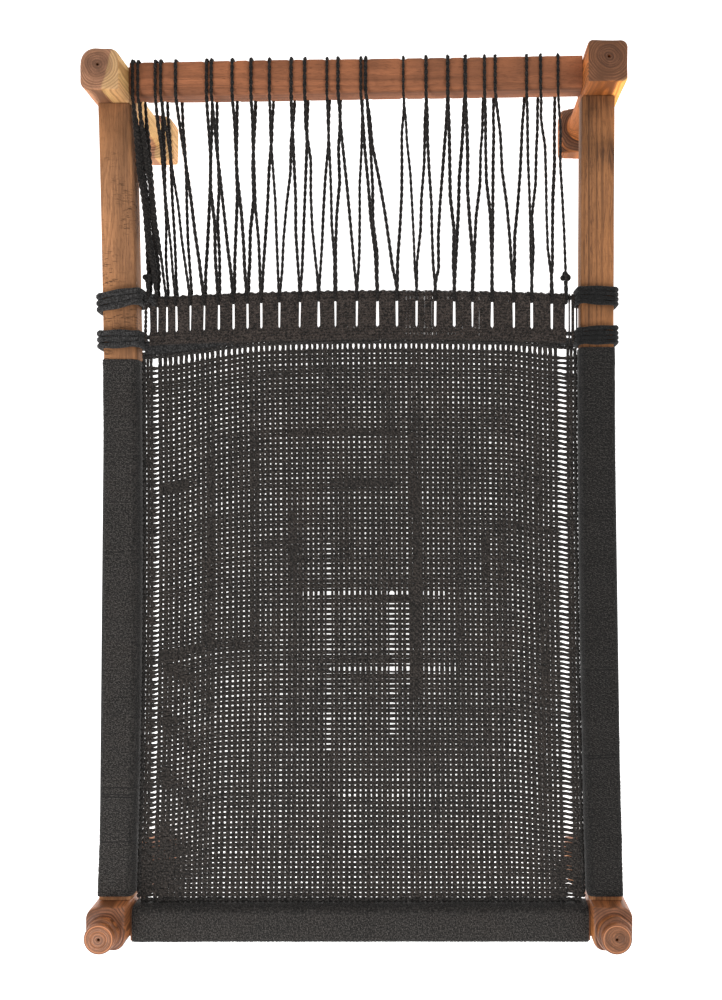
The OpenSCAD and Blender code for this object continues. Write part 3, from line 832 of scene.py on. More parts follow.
def select_faces(obj, test):
    """Selects in edit mode the faces whose middle and normal pass a test."""
    mesh = bmesh.from_edit_mesh(obj.data)
    for face in mesh.faces:
        face.select = test(face.calc_center_median(), face.normal)
    bmesh.update_edit_mesh(obj.data)


def arrises(inside):
    """A rail's arrises, each as a sign across the rail, a sign up and its radius."""
    return [(inside, 1, INNER_ROUND), (-inside, 1, OUTER_ROUND), (inside, -1, OUTER_ROUND),
            (-inside, -1, OUTER_ROUND)]


def rail_blank(name, along, size, cuts, inside):
    """A sawn length of wood along X or Y, its arrises rounded and its length cut into short stretches."""
    deselect()
    low, high = size
    middle = [(a + b) / 2 for a, b in zip(low, high)]
    span = [b - a for a, b in zip(low, high)]
    bpy.ops.mesh.primitive_cube_add(size=1, location=middle, scale=span)
    obj = bpy.context.object
    obj.name = obj.data.name = name
    bpy.ops.object.transform_apply(location=True, rotation=False, scale=True)
    across = 1 - along

    def lengthwise(a, b):
        return abs(a[along] - b[along]) > span[along] * 0.9

    editing(obj, select_all=False)
    bpy.ops.mesh.select_mode(type="EDGE")
    for side, up, radius in arrises(inside):
        corner = (middle[across] + side * span[across] / 2, middle[2] + up * span[2] / 2)
        bpy.ops.mesh.select_all(action="DESELECT")
        select_edges(obj, lambda a, b: lengthwise(a, b) and abs(a[across] - corner[0]) < 1e-4
                     and abs(a[2] - corner[1]) < 1e-4)
        bpy.ops.mesh.bevel(offset=radius, segments=6, profile=0.5, affect="EDGES")
    bpy.ops.mesh.select_all(action="DESELECT")
    select_edges(obj, lengthwise)
    bpy.ops.mesh.subdivide(number_cuts=cuts, smoothness=0)
    bpy.ops.mesh.select_mode(type="VERT")
    bpy.ops.object.mode_set(mode="OBJECT")
    return obj


def draw_tenon(obj, along, end, sign, line, low):
    """Draws a tenon out of a rail's end face, with its underside at that height."""
    across = 1 - along
    editing(obj, select_all=False)
    bpy.ops.mesh.select_mode(type="FACE")
    select_faces(obj, lambda c, n: n[along] * sign > 0.9 and abs(c[along] - end) < 2 * MM)
    bpy.ops.mesh.inset(thickness=TENON_SHOULDER, depth=0)
    move = [0, 0, 0]
    move[along] = sign * (TENON_LENGTH - SHOULDER_GAP)
    bpy.ops.mesh.extrude_region_move(TRANSFORM_OT_translate={"value": move})
    mesh = bmesh.from_edit_mesh(obj.data)
    root_low, root_high = RAIL_BOTTOM + TENON_SHOULDER, RAIL_TOP - TENON_SHOULDER
    for v in mesh.verts:
        offset = v.co[across] - line(end)
        root = (abs(v.co[along] - end) < 0.6 * MM and abs(offset) < RAIL_HALF - TENON_SHOULDER + 0.9 * MM
                and root_low - MM < v.co.z < root_high + MM)
        if (v.co[along] - end) * sign > -0.5 * MM and (v.select or root):
            v.co[across] = line(end) + max(-TENON_WIDTH / 2, min(TENON_WIDTH / 2, offset * 1.2))
            v.co.z = low + max(0, min(1, (v.co.z - root_low) / (root_high - root_low))) * TENON_HEIGHT
    bmesh.update_edit_mesh(obj.data)
    bpy.ops.mesh.select_mode(type="VERT")
    bpy.ops.object.mode_set(mode="OBJECT")


def rail(name, along, ends, line, material, cuts, inside, uneven, seed, tenon_z, dents=()):
    """One rail: bent to its middle line, uneven as sawn and worn wood, dented by the cords, with its tenons."""
    start, stop = ends
    low, high = [0, 0, RAIL_BOTTOM], [0, 0, RAIL_TOP]
    across = 1 - along
    low[along], high[along] = start, stop
    low[across], high[across] = -RAIL_HALF, RAIL_HALF
    obj = rail_blank(name, along, (low, high), cuts, inside)
    co = points(obj)
    flank = np.abs(co[:, across]) / RAIL_HALF
    level = (co[:, 2] - RAIL_BOTTOM) / (RAIL_TOP - RAIL_BOTTOM) * 2 - 1
    stretch = [1, 1, 1]
    stretch[along] = 0.16
    bumps = rough(co, 30 * MM, uneven, stretch, seed) + rough(co, 200 * MM, uneven, (1, 1, 1), seed + 4)
    edge = np.minimum(flank, np.abs(level))
    worn = smooth(edge, 0.70, 0.98) * (0.55 + rough(co, 50 * MM, 0.9, seed=seed + 2))
    for at, depth in dents:
        bumps -= np.exp(-((co[:, along] - at) / (3.6 * MM)) ** 2) * depth * smooth(edge, 0.55, 0.9)
    square = np.zeros_like(co)
    square[:, across] = np.sign(co[:, across]) * smooth(flank, 0.8, 1)
    square[:, 2] = np.sign(level) * smooth(np.abs(level), 0.7, 1)
    co = co + square * np.minimum(bumps, 0.4 * MM)[:, None]
    co[:, across] += line(co[:, along])
    place(obj, co)
    note(obj, "wear", np.clip(worn, 0, 1))
    for end, sign in ((start, -1), (stop, 1)):
        draw_tenon(obj, along, end, sign, line, tenon_z)
    finished(obj, material, "rail_wood", name, angle=35)


class DAYBED_OT_rails(bpy.types.Operator):
    """Models the two side rails, the foot rail and the head rail"""
    bl_idname = "daybed.rails"
    bl_label = "Rails"

    def execute(self, context):
        wood = context.scene.daybed.wood
        low = RAIL_BOTTOM
        left = wood_finish("left_rail_wood", wood, (left_line(0) - 50 * MM, 0, low - 40 * MM), "Y",
                           (0.47, 0.222, 0.103), ring=0.9, streak=1.2, sawn=1.6, dull=(0.66, 0.76))
        right = wood_finish("right_rail_wood", wood, (right_line(0) + 30 * MM, 0, low), "Y",
                            (0.38, 0.166, 0.066), ring=1.5, streak=2.0, sawn=0.3, dull=(0.64, 0.74))
        foot = wood_finish("foot_rail_wood", wood, (0, foot_line(0) + 10 * MM, low - 30 * MM), "X",
                           (0.37, 0.137, 0.062), ring=0.9)
        head = wood_finish("head_rail_wood", wood, (0, head_line(0), low - 30 * MM), "X", tuple(wood.heart))
        middle = (RAIL_TOP + RAIL_BOTTOM) / 2
        for name, head_leg, foot_leg, line, finish, inside, seed in (
                ("side_rail_left", HEAD_LEFT, FOOT_LEFT, left_line, left, 1, 11.0),
                ("side_rail_right", HEAD_RIGHT, FOOT_RIGHT, right_line, right, -1, 23.0)):
            ends = (head_leg[1] + STOCK_ALONG + SHOULDER_GAP, foot_leg[1] - STOCK_ALONG - SHOULDER_GAP)
            rail(name, 1, ends, line, finish, 150, inside, 0.5 * MM, seed, middle + TENON_SHIFT)
        # The lacing has bitten into the foot rail's edges
        rng = np.random.default_rng(SEED)
        dents = [(x * MM, rng.uniform(1.2, 3.0) * MM) for x in TURN_X]
        for name, left_leg, right_leg, line, finish, cuts, marks, inside, seed in (
                ("foot_rail", FOOT_LEFT, FOOT_RIGHT, foot_line, foot, 360, dents, -1, 31.0),
                ("head_rail", HEAD_LEFT, HEAD_RIGHT, head_line, head, 90, (), 1, 43.0)):
            ends = (left_leg[0] + STOCK_IN + SHOULDER_GAP, right_leg[0] - STOCK_IN - SHOULDER_GAP)
            rail(name, 0, ends, line, finish, cuts, inside, 0.6 * MM, seed, middle - TENON_HEIGHT - TENON_SHIFT,
                 marks)
        return {"FINISHED"}


# ----------------------------------------------------------------------------------------- the wound string
def rail_ring(grow, inside=0, inner=5 * MM, outer=5 * MM, arc=4):
    """Points round a rail's section, that far outside it: across the rail and up. inner is the radius of the corner
    on top of its inner side, and outer is the other corners'."""
    half = RAIL_HALF + grow
    low, high = RAIL_BOTTOM - grow, RAIL_TOP + grow
    ring = []
    for side, up, start in ((1, 1, 0), (-1, 1, 90), (-1, -1, 180), (1, -1, 270)):
        round_off = inner if side == inside and up > 0 else outer
        cx = side * (half - round_off)
        cz = high - round_off if up > 0 else low + round_off
        for a in np.radians(np.linspace(start, start + 90, arc + (3 if round_off > outer else 0))):
            ring.append((cx + round_off * math.cos(a), cz + round_off * math.sin(a)))
        if up > 0 and side > 0:
            ring.append((0, high))
    return np.array(ring)


def wound_rail(name, along, ends, line, inside, string, material, seed):
    """String wound side by side round a rail, each turn a ridge, closed on the inside."""
    rng = np.random.default_rng(seed)
    start, stop = ends
    turns = int((stop - start) / string)
    pitch = (stop - start) / turns
    rows, grows, leans = [start], [WRAP_GAP], [0.0]
    # The winding's height and slant wander slowly, as some of its turns ride up on others
    drift = np.interp(np.arange(turns), np.linspace(0, turns, 40), rng.uniform(-0.4, 0.4, 40))
    slant = np.interp(np.arange(turns), np.linspace(0, turns, 14), rng.uniform(-2.2, 2.2, 14)) * MM
    slant *= smooth(np.arange(turns), 0, 12) * smooth(np.arange(turns), turns, turns - 12)
    for i in range(turns):
        height = WRAP + (drift[i] + rng.uniform(-0.3, 0.3)) * MM
        at = start + (i + 0.5) * pitch + rng.uniform(-0.12, 0.12) * pitch
        rows += [start + (i + 0.04) * pitch, at - 0.22 * pitch, at + 0.22 * pitch]
        grows += [WRAP * VALLEY, height, height]
        leans += [slant[i]] * 3
    rows += [stop, stop, start]
    grows += [WRAP * VALLEY, WRAP_GAP, WRAP_GAP]
    leans += [0.0] * 3
    rings = []
    for at, grow, lean in zip(rows, grows, leans):
        ring = rail_ring(grow, inside, INNER_ROUND + grow * 0.6, OUTER_ROUND + 3 * MM)
        shift = at + lean * ring[:, 0] / RAIL_HALF
        if along == 1:
            rings.append(np.column_stack([line(at) + ring[:, 0], shift, ring[:, 1]]))
        else:
            rings.append(np.column_stack([shift, line(at) + ring[:, 0], ring[:, 1]]))
    # Painted shade: the valleys between the turns are marked for the string's finish to darken
    deep = np.array([0 if grow > WRAP * 0.8 else 1 for grow in grows], float)
    shade = np.repeat(deep[:, None], len(ring), axis=1)
    finished(loft(name, [np.array(rings)], closed=True, wear=[shade]), material, "wound_string", name)


class DAYBED_OT_wound_rails(bpy.types.Operator):
    """Winds string round the side rails and the head rail"""
    bl_idname = "daybed.wound_rails"
    bl_label = "Wound rails"

    def execute(self, context):
        string = context.scene.daybed.string
        black, brown = tuple(string.black), tuple(string.brown)
        pale = string_finish("wound_string", (black, brown), 4 * MM, 60, fade=0.4, painted_valley_shade=0.35)
        # The right rail's winding is a darker copy of the same string: painted shade, as if it lay away from the key
        # light
        dark = string_finish("wound_string_painted_shade", (tint(black, 0.58), tint(brown, 0.58)), 4 * MM, 60,
                             fade=0.2, painted_valley_shade=0.35)
        for name, along, line, inside, seed, finish in (("side_wrap_left", 1, left_line, 1, 5, pale),
                                                        ("side_wrap_right", 1, right_line, -1, 6, dark),
                                                        ("head_wrap", 0, head_line, 1, 8, pale)):
            wound_rail(name, along, node_span(name, along), line, inside, string.diameter, finish, seed)
        return {"FINISHED"}


# -------------------------------------------------------------------------------------------------- the web
def group_section():
    """Across and up, from -1 to 1, round a flat group of three strings that lie side by side."""
    steps = 6
    top = [(-1 + 2 * i / steps, 1.0 if i % 2 else 0.42) for i in range(1, steps)]
    return np.array([(-1, 0)] + top + [(1, 0)] + [(x, -z) for x, z in reversed(top)])


def wander(rng, count, length, knots, size):
    """For each of a number of strings, a value that drifts along its length."""
    at = np.linspace(0, knots - 1, length)
    return np.array([np.interp(at, range(knots), rng.normal(0, size, knots)) for _ in range(count)])


# Where the weave is closer or more open than elsewhere: a group's place, where it starts and ends, and by how
# much. Lengthwise groups are placed in x and run in y, crosswise ones are placed in y and run in x, in millimetres
CLOSE_LENGTHWISE = (
    (118, -430, 225, 0.20), (-137, -510, 20, 0.18), (-33, -150, 60, 0.22), (-315, -320, 130, 0.13),
    (-268, -320, 150, 0.13), (-220, -360, 150, 0.14), (-380, -480, 70, 0.13), (300, -380, 60, 0.15),
    (262, -540, -60, 0.12), (345, -450, 90, 0.14), (-90, -620, -330, 0.14), (150, -700, -480, 0.16),
    (60, 20, 240, 0.14), (205, -380, 140, 0.10), (385, -620, -150, 0.13))
CLOSE_CROSSWISE = (
    (-297, -440, -205, 0.26), (142, -170, 85, 0.20), (33, -70, 90, 0.22), (-182, -110, 150, 0.20),
    (-208, -110, 150, 0.22), (-348, -110, 160, 0.20), (-376, -100, 150, 0.20), (60, -440, -350, 0.2),
    (-60, 250, 420, 0.13), (-520, 60, 300, 0.12), (-90, -220, -120, 0.18), (225, -240, 60, 0.12),
    (160, 60, 330, 0.12))
OPEN_LENGTHWISE = (
    (-66, -540, -95, 0.36), (62, -500, -200, 0.40), (99, -400, -210, 0.16), (-66, -95, 160, 0.10),
    (12, -150, 200, 0.06), (-168, -700, -300, 0.07), (-240, -560, -100, 0.07))
OPEN_CROSSWISE = ((-195, -135, 170, 0.30), (-363, -70, 200, 0.34), (-622, -60, 170, 0.16), (270, 120, 250, 0.08))


class Weave:
    """How the string groups of the web lie: their widths and which one is on top at each crossing."""

    def __init__(self, xs, ys, pitch, cover):
        rng = np.random.default_rng(SEED + 1)
        columns, rows = len(xs), len(ys)
        x, y = np.meshgrid(xs, ys, indexing="ij")
        u, v = (x - xs[0]) / (xs[-1] - xs[0]), (y - ys[0]) / (ys[-1] - ys[0])
        steps = np.add.outer(np.arange(columns), np.arange(rows))
        plain = (steps % 2) * 2.0 - 1
        self.warp = cover + wander(rng, columns, rows, 9, 0.055) + rng.normal(0, 0.045, (columns, rows))
        self.weft = cover + wander(rng, rows, columns, 9, 0.055).T + rng.normal(0, 0.045, (columns, rows))
        self.warp += 0.05 * np.sin(u * 61) * smooth(v, 0.85, 0.6)
        # The corners near the head are packed close, and so are slanting stripes beside the left edge
        corner = smooth(v, 0.10, 0.02) * (smooth(u, 0.10, 0.03) + smooth(u, 0.955, 0.985))
        stripes = smooth(np.sin(v * 58 + u * 42), 0.1, 0.8) * smooth(u, 0.115, 0.07) * smooth(v, 0.52, 0.44)
        close = np.clip(corner + stripes * smooth(v, 0.06, 0.1), 0, 1)
        self.warp += close * 0.18
        self.weft += close * 0.14
        # Where it is closest, a group floats over two others at a time
        floats = close > 0.6
        for stripes, widths, across, run, reach, beat, least in (
                (CLOSE_LENGTHWISE, self.warp, x, y, 1.1, 1.7, -0.2),
                (CLOSE_CROSSWISE, self.weft, y, x, 0.9, 1.3, 0)):
            for at, low, high, amount in stripes:
                near = np.exp(-((across - at * MM) / pitch / reach) ** 2) \
                    * smooth(run, (low - 8) * MM, (low + 25) * MM) * smooth(run, (high + 8) * MM, (high - 25) * MM)
                widths += amount * near
                floats |= (near > 0.55) & (np.sin(run / pitch * beat) > least)
        self.over = np.where(floats, np.where(steps % 4 < 2, 1.0, -1.0), plain)
        self.warp, self.weft = np.clip(self.warp, 0.5, 1.12), np.clip(self.weft, 0.5, 1.12)
        # Straight open lines between two groups
        self.open_columns = np.zeros((columns + 1, rows))
        self.open_rows = np.zeros((columns, rows + 1))
        for at, low, high, amount in OPEN_LENGTHWISE:
            column = np.searchsorted(xs, at * MM)
            self.open_columns[column, (ys > low * MM) & (ys < high * MM)] = amount
        for at, low, high, amount in OPEN_CROSSWISE:
            row = np.searchsorted(ys, at * MM)
            self.open_rows[(xs > low * MM) & (xs < high * MM), row] = amount


def ribbon(middle, aside, left, right, up):
    """Rings of a flat group of strings: its middle, its sideways direction, its reach to the left and right, and
    its height at each point."""
    section = group_section()
    x = section[:, 0][None, :]
    reach = np.where(x < 0, left[:, None], right[:, None]) * x
    rings = middle[:, None, :] + np.array(aside)[None, None, :] * reach[..., None]
    rings[..., 2] += section[:, 1][None, :] * GROUP_THICK + up[:, None]
    return rings


def droop(x):
    """How far the web's foot edge hangs towards the head, near its two corners."""
    return 17 * MM * smooth(x, -0.19, -0.43) + 5 * MM * smooth(x, 0.32, 0.45)


def web_top(x):
    """y of the web's last row at x."""
    return lower_line(x) - LOWER_ROPE / 2 - SELVEDGE - DASH - droop(x)


def fall(u, v):
    """How far a row lies lower near the web's two sides."""
    sides = 16 * MM * smooth(u, 0.17, 0) + 9 * MM * smooth(u, 0.86, 1)
    return sides * smooth(v, 0, 0.12) * (1 - 0.7 * smooth(v, 0.8, 1))


def drifting(rng, count):
    """Even shares from 0 to 1, a little disturbed."""
    drift = np.cumsum(rng.normal(0, 0.05, count))
    return (np.arange(count) + 0.5 + drift - np.linspace(drift[0], drift[-1], count)) / count


def halved(values):
    """The values, each followed by the mean of it and the next. The last one is there twice."""
    made = np.repeat(values, 2).astype(float)
    made[1:-1:2] = (values[:-1] + values[1:]) / 2
    return made


class Web:
    """Where the web's groups of string lie, and the ribbons that they make. A ribbon has two rings for each group
    that it crosses, on the crossing and half way to the next."""

    def __init__(self, settings):
        self.settings = settings
        self.columns, self.rows = settings.columns, settings.rows
        self.rng = np.random.default_rng(SEED + 2)
        self.columns_at, self.rows_at = drifting(self.rng, self.columns), drifting(self.rng, self.rows)
        low, high = self.edges(0)
        self.pitch_x = (high - low) / self.columns
        self.pitch_y = (web_top(0) - WEB_LOW) / self.rows
        xs = self.spot(self.columns_at, np.full(self.columns, 0.5))[:, 0]
        ys = self.spot(np.full(self.rows, 0.5), self.rows_at)[:, 1]
        self.weave = Weave(xs, ys, self.pitch_x, settings.cover)

    def edges(self, y):
        """x of the weave's two edges at y, inside the open columns."""
        rim = self.settings.rim
        return (left_face(y) + WEB_EDGE + rim + self.settings.left_gap,
                right_face(y) - WEB_EDGE - rim - self.settings.right_gap)

    def spot(self, u, v):
        """A point of the web from its shares across and along."""
        middle = BAND_MIDDLE + (u - 0.5) * 2 * (BAND_HALF - WEB_EDGE)
        y = WEB_LOW + (web_top(middle) - WEB_LOW) * v - fall(u, v)
        low, high = self.edges(y)
        x = low + (high - low) * u
        inner_u, inner_v = np.clip(u, 0, 1), np.clip(v, 0, 1)
        hang = self.settings.sag * (1 - (2 * inner_u - 1) ** 2) * (1 - (2 * inner_v - 1) ** 2)
        return np.stack([x, y, WEB_Z - hang], axis=-1)

    def lengthwise(self, u, widths, over, open_left, open_right, share):
        """One group along the bed, and its run over the open crossing to the cord and the rope beyond it. share is
        how wide it is there."""
        v = halved(self.rows_at)
        v[-1] = 1
        middle = self.spot(np.full(2 * self.rows, u), v)
        width = np.repeat(widths, 2) * self.pitch_x / 2
        left = width - np.repeat(open_left, 2) * self.pitch_x
        right = width - np.repeat(open_right, 2) * self.pitch_x
        up = halved(over) * SWING
        up[-1] = 0
        head = middle[0] - [0, SELVEDGE + 6 * MM, 0]
        half = middle[-1] + [self.rng.uniform(-1, 1) * MM, DASH * 0.5, 0]
        far = middle[-1] + [0, DASH + SELVEDGE * 0.3, 0]
        end = middle[-1] + [0, DASH + SELVEDGE + 6 * MM, 1 * MM]
        thin = share * self.pitch_x / 2
        ends = [thin * 0.92, thin, thin]
        return ribbon(np.concatenate([[head], middle, [half], [far], [end]]), (1.0, 0, 0),
                      np.concatenate([left[:1], left, ends]), np.concatenate([right[:1], right, ends]),
                      np.concatenate([[0], up, [0, 0, 0]]))

    def crosswise(self, r):
        """One row, with its slanting run over the open column on each side, through the close groups there, to the
        edge cord."""
        settings, weave, rng = self.settings, self.weave, self.rng
        u = halved(self.columns_at)
        u[-1] = 1
        middle = self.spot(u, np.full(2 * self.columns, self.rows_at[r]))
        width = np.repeat(weave.weft[:, r], 2) * self.pitch_y / 2
        left = width - np.repeat(weave.open_rows[:, r], 2) * self.pitch_y
        right = width - np.repeat(weave.open_rows[:, r + 1], 2) * self.pitch_y
        up = -halved(weave.over[:, r]) * SWING
        up[-1] = 0
        before, after = [], []
        # Near the head most rows are packed close there
        packed = self.pitch_y / 2 * (1.0 if self.rows_at[r] < 0.12 and r % 3 else 0.62 + rng.uniform(-.08, .10))
        for side, gap, found, end in ((-1, settings.left_gap, before, middle[0]),
                                      (1, settings.right_gap, after, middle[-1])):
            slant = -(3.2 + rng.uniform(-1, 1)) * MM
            if r < 2 or r > self.rows - 3:
                slant *= 0.2        # the last rows close the corner
            rim = settings.rim
            for out, rise in ((gap * 0.3, 0.15), (gap * 0.7, 0.7), (gap + rim * 0.25, 1), (gap + rim, 1)):
                found.append(end + [side * out, slant * rise, 0])
            y = end[1] + slant
            x = left_face(y) + CLEAR if side < 0 else right_face(y) - CLEAR
            found.append(np.array([x - side * 1.0 * MM, y, WEB_Z]))
        ends = packed * np.array([1, 1, 1.5, 1.2, 0.8])
        flip = (r % 2 * 2 - 1) * SWING
        return ribbon(np.concatenate([before[::-1], middle, after]), (0, 1.0, 0),
                      np.concatenate([ends[::-1], left, ends]), np.concatenate([ends[::-1], right, ends]),
                      np.concatenate([[0, -flip, flip, 0, 0], up, [0, 0, flip, -flip, 0]]))


class DAYBED_OT_web(bpy.types.Operator):
    """Weaves the web from flat groups of string, over and under each other"""
    bl_idname = "daybed.web"
    bl_label = "Woven web"

    def execute(self, context):
        settings = context.scene.daybed.web
        string = context.scene.daybed.string
        web = Web(settings)
        weave = web.weave
        warps = []
        for c in range(web.columns):
            share = web.rng.uniform(0.66, 0.84)
            warps.append(web.lengthwise(web.columns_at[c], weave.warp[c], weave.over[c], weave.open_columns[c],
                                        weave.open_columns[c + 1], share))
        # Two close groups beyond the open column on each side
        closed = np.zeros(web.rows)
        width = np.full(web.rows, settings.rim / 2 / web.pitch_x * 0.97)
        for side, gap in ((-1, settings.left_gap), (1, settings.right_gap)):
            for k in range(2):
                out = (gap + settings.rim * (k + 0.5) / 2) / (web.pitch_x * web.columns)
                over = (np.arange(web.rows) + k) % 2 * 2.0 - 1
                warps.append(web.lengthwise(-out if side < 0 else 1 + out, width, over, closed, closed, 0.6))
        wefts = [web.crosswise(r) for r in range(web.rows)]
        finish = string_finish("woven_string", [tint(tuple(shade), 0.68, 0.63, 0.60)
                                                for shade in (string.black, string.brown)], 12 * MM, 3, fade=0.6)
        for kind, strips in (("web_lengthwise", warps), ("web_crosswise", wefts)):
            share = math.ceil(len(strips) / 3)
            for part in range(3):
                obj = loft(f"{kind}_{part + 1}", strips[part * share:(part + 1) * share])
                finished(obj, finish, "woven_string", "woven_web")
        return {"FINISHED"}


# ------------------------------------------------------------------------------------------ the web's edges
def plied(path, radius, twist, plies=2, sides=6, offset=1.0):
    """Rings of the plies of a cord that turn round each other along its path. offset is how far each lies from the
    middle, as a share of its radius."""
    a, b = frames_along(path)
    lengths = np.concatenate([[0], np.cumsum(np.linalg.norm(np.diff(path, axis=0), axis=1))])
    radius = np.broadcast_to(radius, len(path))
    made = []
    for k in range(plies):
        angle = (lengths / twist + k / plies) * math.tau
        shift = (np.cos(angle)[:, None] * a + np.sin(angle)[:, None] * b) * (radius * offset)[:, None]
        made.append(tube(path + shift, radius, sides))
    return made


class DAYBED_OT_web_edges(bpy.types.Operator):
    """Lays the knotted cords along the web's edges and the twined cord at its foot"""
    bl_idname = "daybed.web_edges"
    bl_label = "Web edges"

    def execute(self, context):
        string = context.scene.daybed.string
        finish = string_finish("edge_cord", (tint(tuple(string.black), 0.7), tint(tuple(string.brown), 0.8)),
                               6 * MM, 2)
        rng = np.random.default_rng(SEED + 3)
        gap = CLEAR + SELVEDGE / 2 + 1 * MM
        head_y = HEAD_LEFT[1] + RAIL_HALF + gap
        for name, axis, at, radius, twist in (
                ("selvedge_left", 1, lambda y: (left_face(y) + gap, y, WEB_Z), 2.1 * MM, 26 * MM),
                ("selvedge_right", 1, lambda y: (right_face(y) - gap, y, WEB_Z), 2.1 * MM, 26 * MM),
                ("selvedge_head", 0, lambda x: (x, head_y, WEB_Z), 2.4 * MM, 26 * MM),
                ("twined_foot_edge", 0, lambda x: (x, web_top(x) + DASH + SELVEDGE / 2, WEB_Z), 2.2 * MM, 17 * MM)):
            start, stop = node_span(name, axis)
            path = np.array([at(t) for t in np.linspace(start, stop, int((stop - start) / (1.9 * MM)))])
            # The hand that knotted it wasn't quite even
            places, knots = np.linspace(0, 1, len(path)), np.linspace(0, 1, 30)
            path += np.stack([np.interp(places, knots, rng.normal(0, 0.35 * MM, 30)) for _ in range(3)], axis=1)
            thick = radius * (1 + 0.12 * np.sin(np.arange(len(path)) * 0.9))
            finished(loft(name, plied(path, thick, twist, plies=3, offset=0.95)), finish, "woven_string", name)
        return {"FINISHED"}


# --------------------------------------------------------------------------------- the band and its lashings
def bound_rope(path, radius, seed):
    """Rings of a thick rope bound with fine string, a ridge for each of its turns."""
    rng = np.random.default_rng(seed)
    path = spaced(path, BINDING / 2)
    ridge = np.where(np.arange(len(path)) % 2, 1.0, 0.9)
    slow = np.interp(np.arange(len(path)), np.linspace(0, len(path), 14), rng.uniform(-0.05, 0.05, 14))
    return tube(path, radius * ridge * (1 + slow), 8, (0.1, 0.2, 0.97))


def bundle_string(rng, x, tight, lean):
    """Rings of one string that goes over the lower rope, up the band, round the upper rope and back below. It lies
    at x on the ropes and at tight between them."""
    upper, lower = band_line(x), lower_line(x)
    lump = 0.9 * math.sin(x / (2.3 * MM)) + 0.7 * math.sin(x / (3.7 * MM) + 1)
    a, b = UPPER_ROPE / 2, 6.4
    steps = [(x, lower - 14 * MM, 0.5), (x, lower - 7 * MM, 5.9), (x, lower, 4.8), (x, lower + 7 * MM, 5.9),
             (x, lower + 13 * MM, 3.2), (tight + lean, lower + 17 * MM, 2.6), (tight + lean, lower + 30 * MM, 1.9),
             (tight, upper - 22 * MM, 1.9), (tight, upper - 13.5 * MM, 3.0), (x, upper - 10 * MM, 4.2),
             (x, upper - a * 0.45, b), (x, upper + a * 0.5, b * .9),
             (x, upper + a * 0.95 + (lump + rng.uniform(0, 0.6)) * MM, 0),
             (x, upper + a * 0.3, -b), (x, upper - 10 * MM, -3.6), (tight, upper - 14 * MM, -2.6),
             (tight + lean, lower + 18 * MM, -1.9), (x, lower + 12 * MM, -4.0), (x, lower - 9 * MM, -5.4)]
    path = np.array([(px, py, WEB_Z + pz * MM) for px, py, pz in steps])
    lift = rng.uniform(-0.3, 0.45) * MM
    path[2:-3, 2] += np.sign(path[2:-3, 2] - WEB_Z) * lift
    return tube(path, GAUGE * 0.54, 5, start=(1, 0, 0))


class DAYBED_OT_band(bpy.types.Operator):
    """Models the two cross ropes and the string bundles that run between them"""
    bl_idname = "daybed.band"
    bl_label = "Band"

    def execute(self, context):
        string = context.scene.daybed.string
        black, brown = tuple(string.black), tuple(string.brown)
        rope_finish = string_finish("cross_rope", (tuple(string.rope), black), 3 * MM, 1, fade=0.4)
        bundle_finish = string_finish("bundle_string", (tint(black, 0.92, 0.78, 0.72), brown), 6 * MM, 2, painted_valley_shade=0.3)
        for name, line, halves in (("upper_cross_rope", band_line, ((0, 5.2),)),
                                   ("lower_cross_rope", lower_line, ((-6.6, 4.9), (6.6, 4.9)))):
            xs = np.linspace(*node_span(name, 0), 200)
            strips = []
            for k, (aside, radius) in enumerate(halves):
                path = np.stack([xs, line(xs) + aside * MM, np.full(200, WEB_Z)], axis=1)
                strips.append(bound_rope(path, radius * MM, k + 3))
            if name == "lower_cross_rope":
                # A flat hank fills the way to the web, where the web hangs lower
                hang = droop(xs)
                hank = np.stack([xs, line(xs) - 10.9 * MM - hang * 0.52, np.full(200, WEB_Z - 1 * MM)], axis=1)
                strips.append(tube(hank, 3.4 * MM + hang * 0.47, 8, (0, 1, 0.05), flat=0.55))
            else:
                for at, turn in ROSETTE:
                    middle = (at, band_line(at) + 1 * MM, WEB_Z + 7 * MM)
                    coil = overhand_knot(middle, 14 * MM, 3.6 * MM, turn)
                    strips.append(np.concatenate([coil, coil[:1]]))
            finished(loft(name, strips), rope_finish, "rope", name)
        # The strings keep clear of each slot, and spread out over the ropes at its two ends
        rng = np.random.default_rng(SEED + 4)
        x0, x1 = node_span("upper_cross_rope", 0)
        x1 += 5 * MM
        bounds = [x0] + [x * MM for x in SLOT_X if x0 + 12 * MM < x * MM < x1 - 12 * MM] + [x1]
        strips = []
        for low, high in zip(bounds, bounds[1:]):
            count = max(2, round((high - low) / GAUGE))
            slot = rng.uniform(4.4, 6.2) * MM
            middle, pinch = (low + high) / 2, 1 - slot / (high - low)
            lean = rng.normal(0, 0.6) * MM
            places = [low + (k + 0.5) * (high - low) / count + rng.normal(0, 0.15) * MM for k in range(count)]
            if high == x1:
                places, pinch, lean = LOOSE_RIGHT, 1, 0
            strips += [bundle_string(rng, x, middle + (x - middle) * pinch, lean)
                       for x in places if x >= LOOSE_LEFT]
        # One twisted cord stands apart at the left end
        lower, upper = lower_line(LOOSE_CORD), band_line(LOOSE_CORD)
        cord = np.array([(LOOSE_CORD, lower - 4 * MM, WEB_Z + 6 * MM), (LOOSE_CORD, lower + 12 * MM, WEB_Z + 4 * MM),
                         (LOOSE_CORD + 1 * MM, upper - 12 * MM, WEB_Z + 4 * MM),
                         (LOOSE_CORD + 1 * MM, upper + 4 * MM, WEB_Z + 6 * MM)])
        strips += plied(spaced(cord, 2 * MM), 2.1 * MM, 19 * MM, sides=5, offset=0.8)
        half = len(strips) // 2
        for part, share in enumerate((strips[:half], strips[half:])):
            finished(loft(f"band_bundles_{part + 1}", share), bundle_finish, "woven_string", "band_bundles")
        return {"FINISHED"}


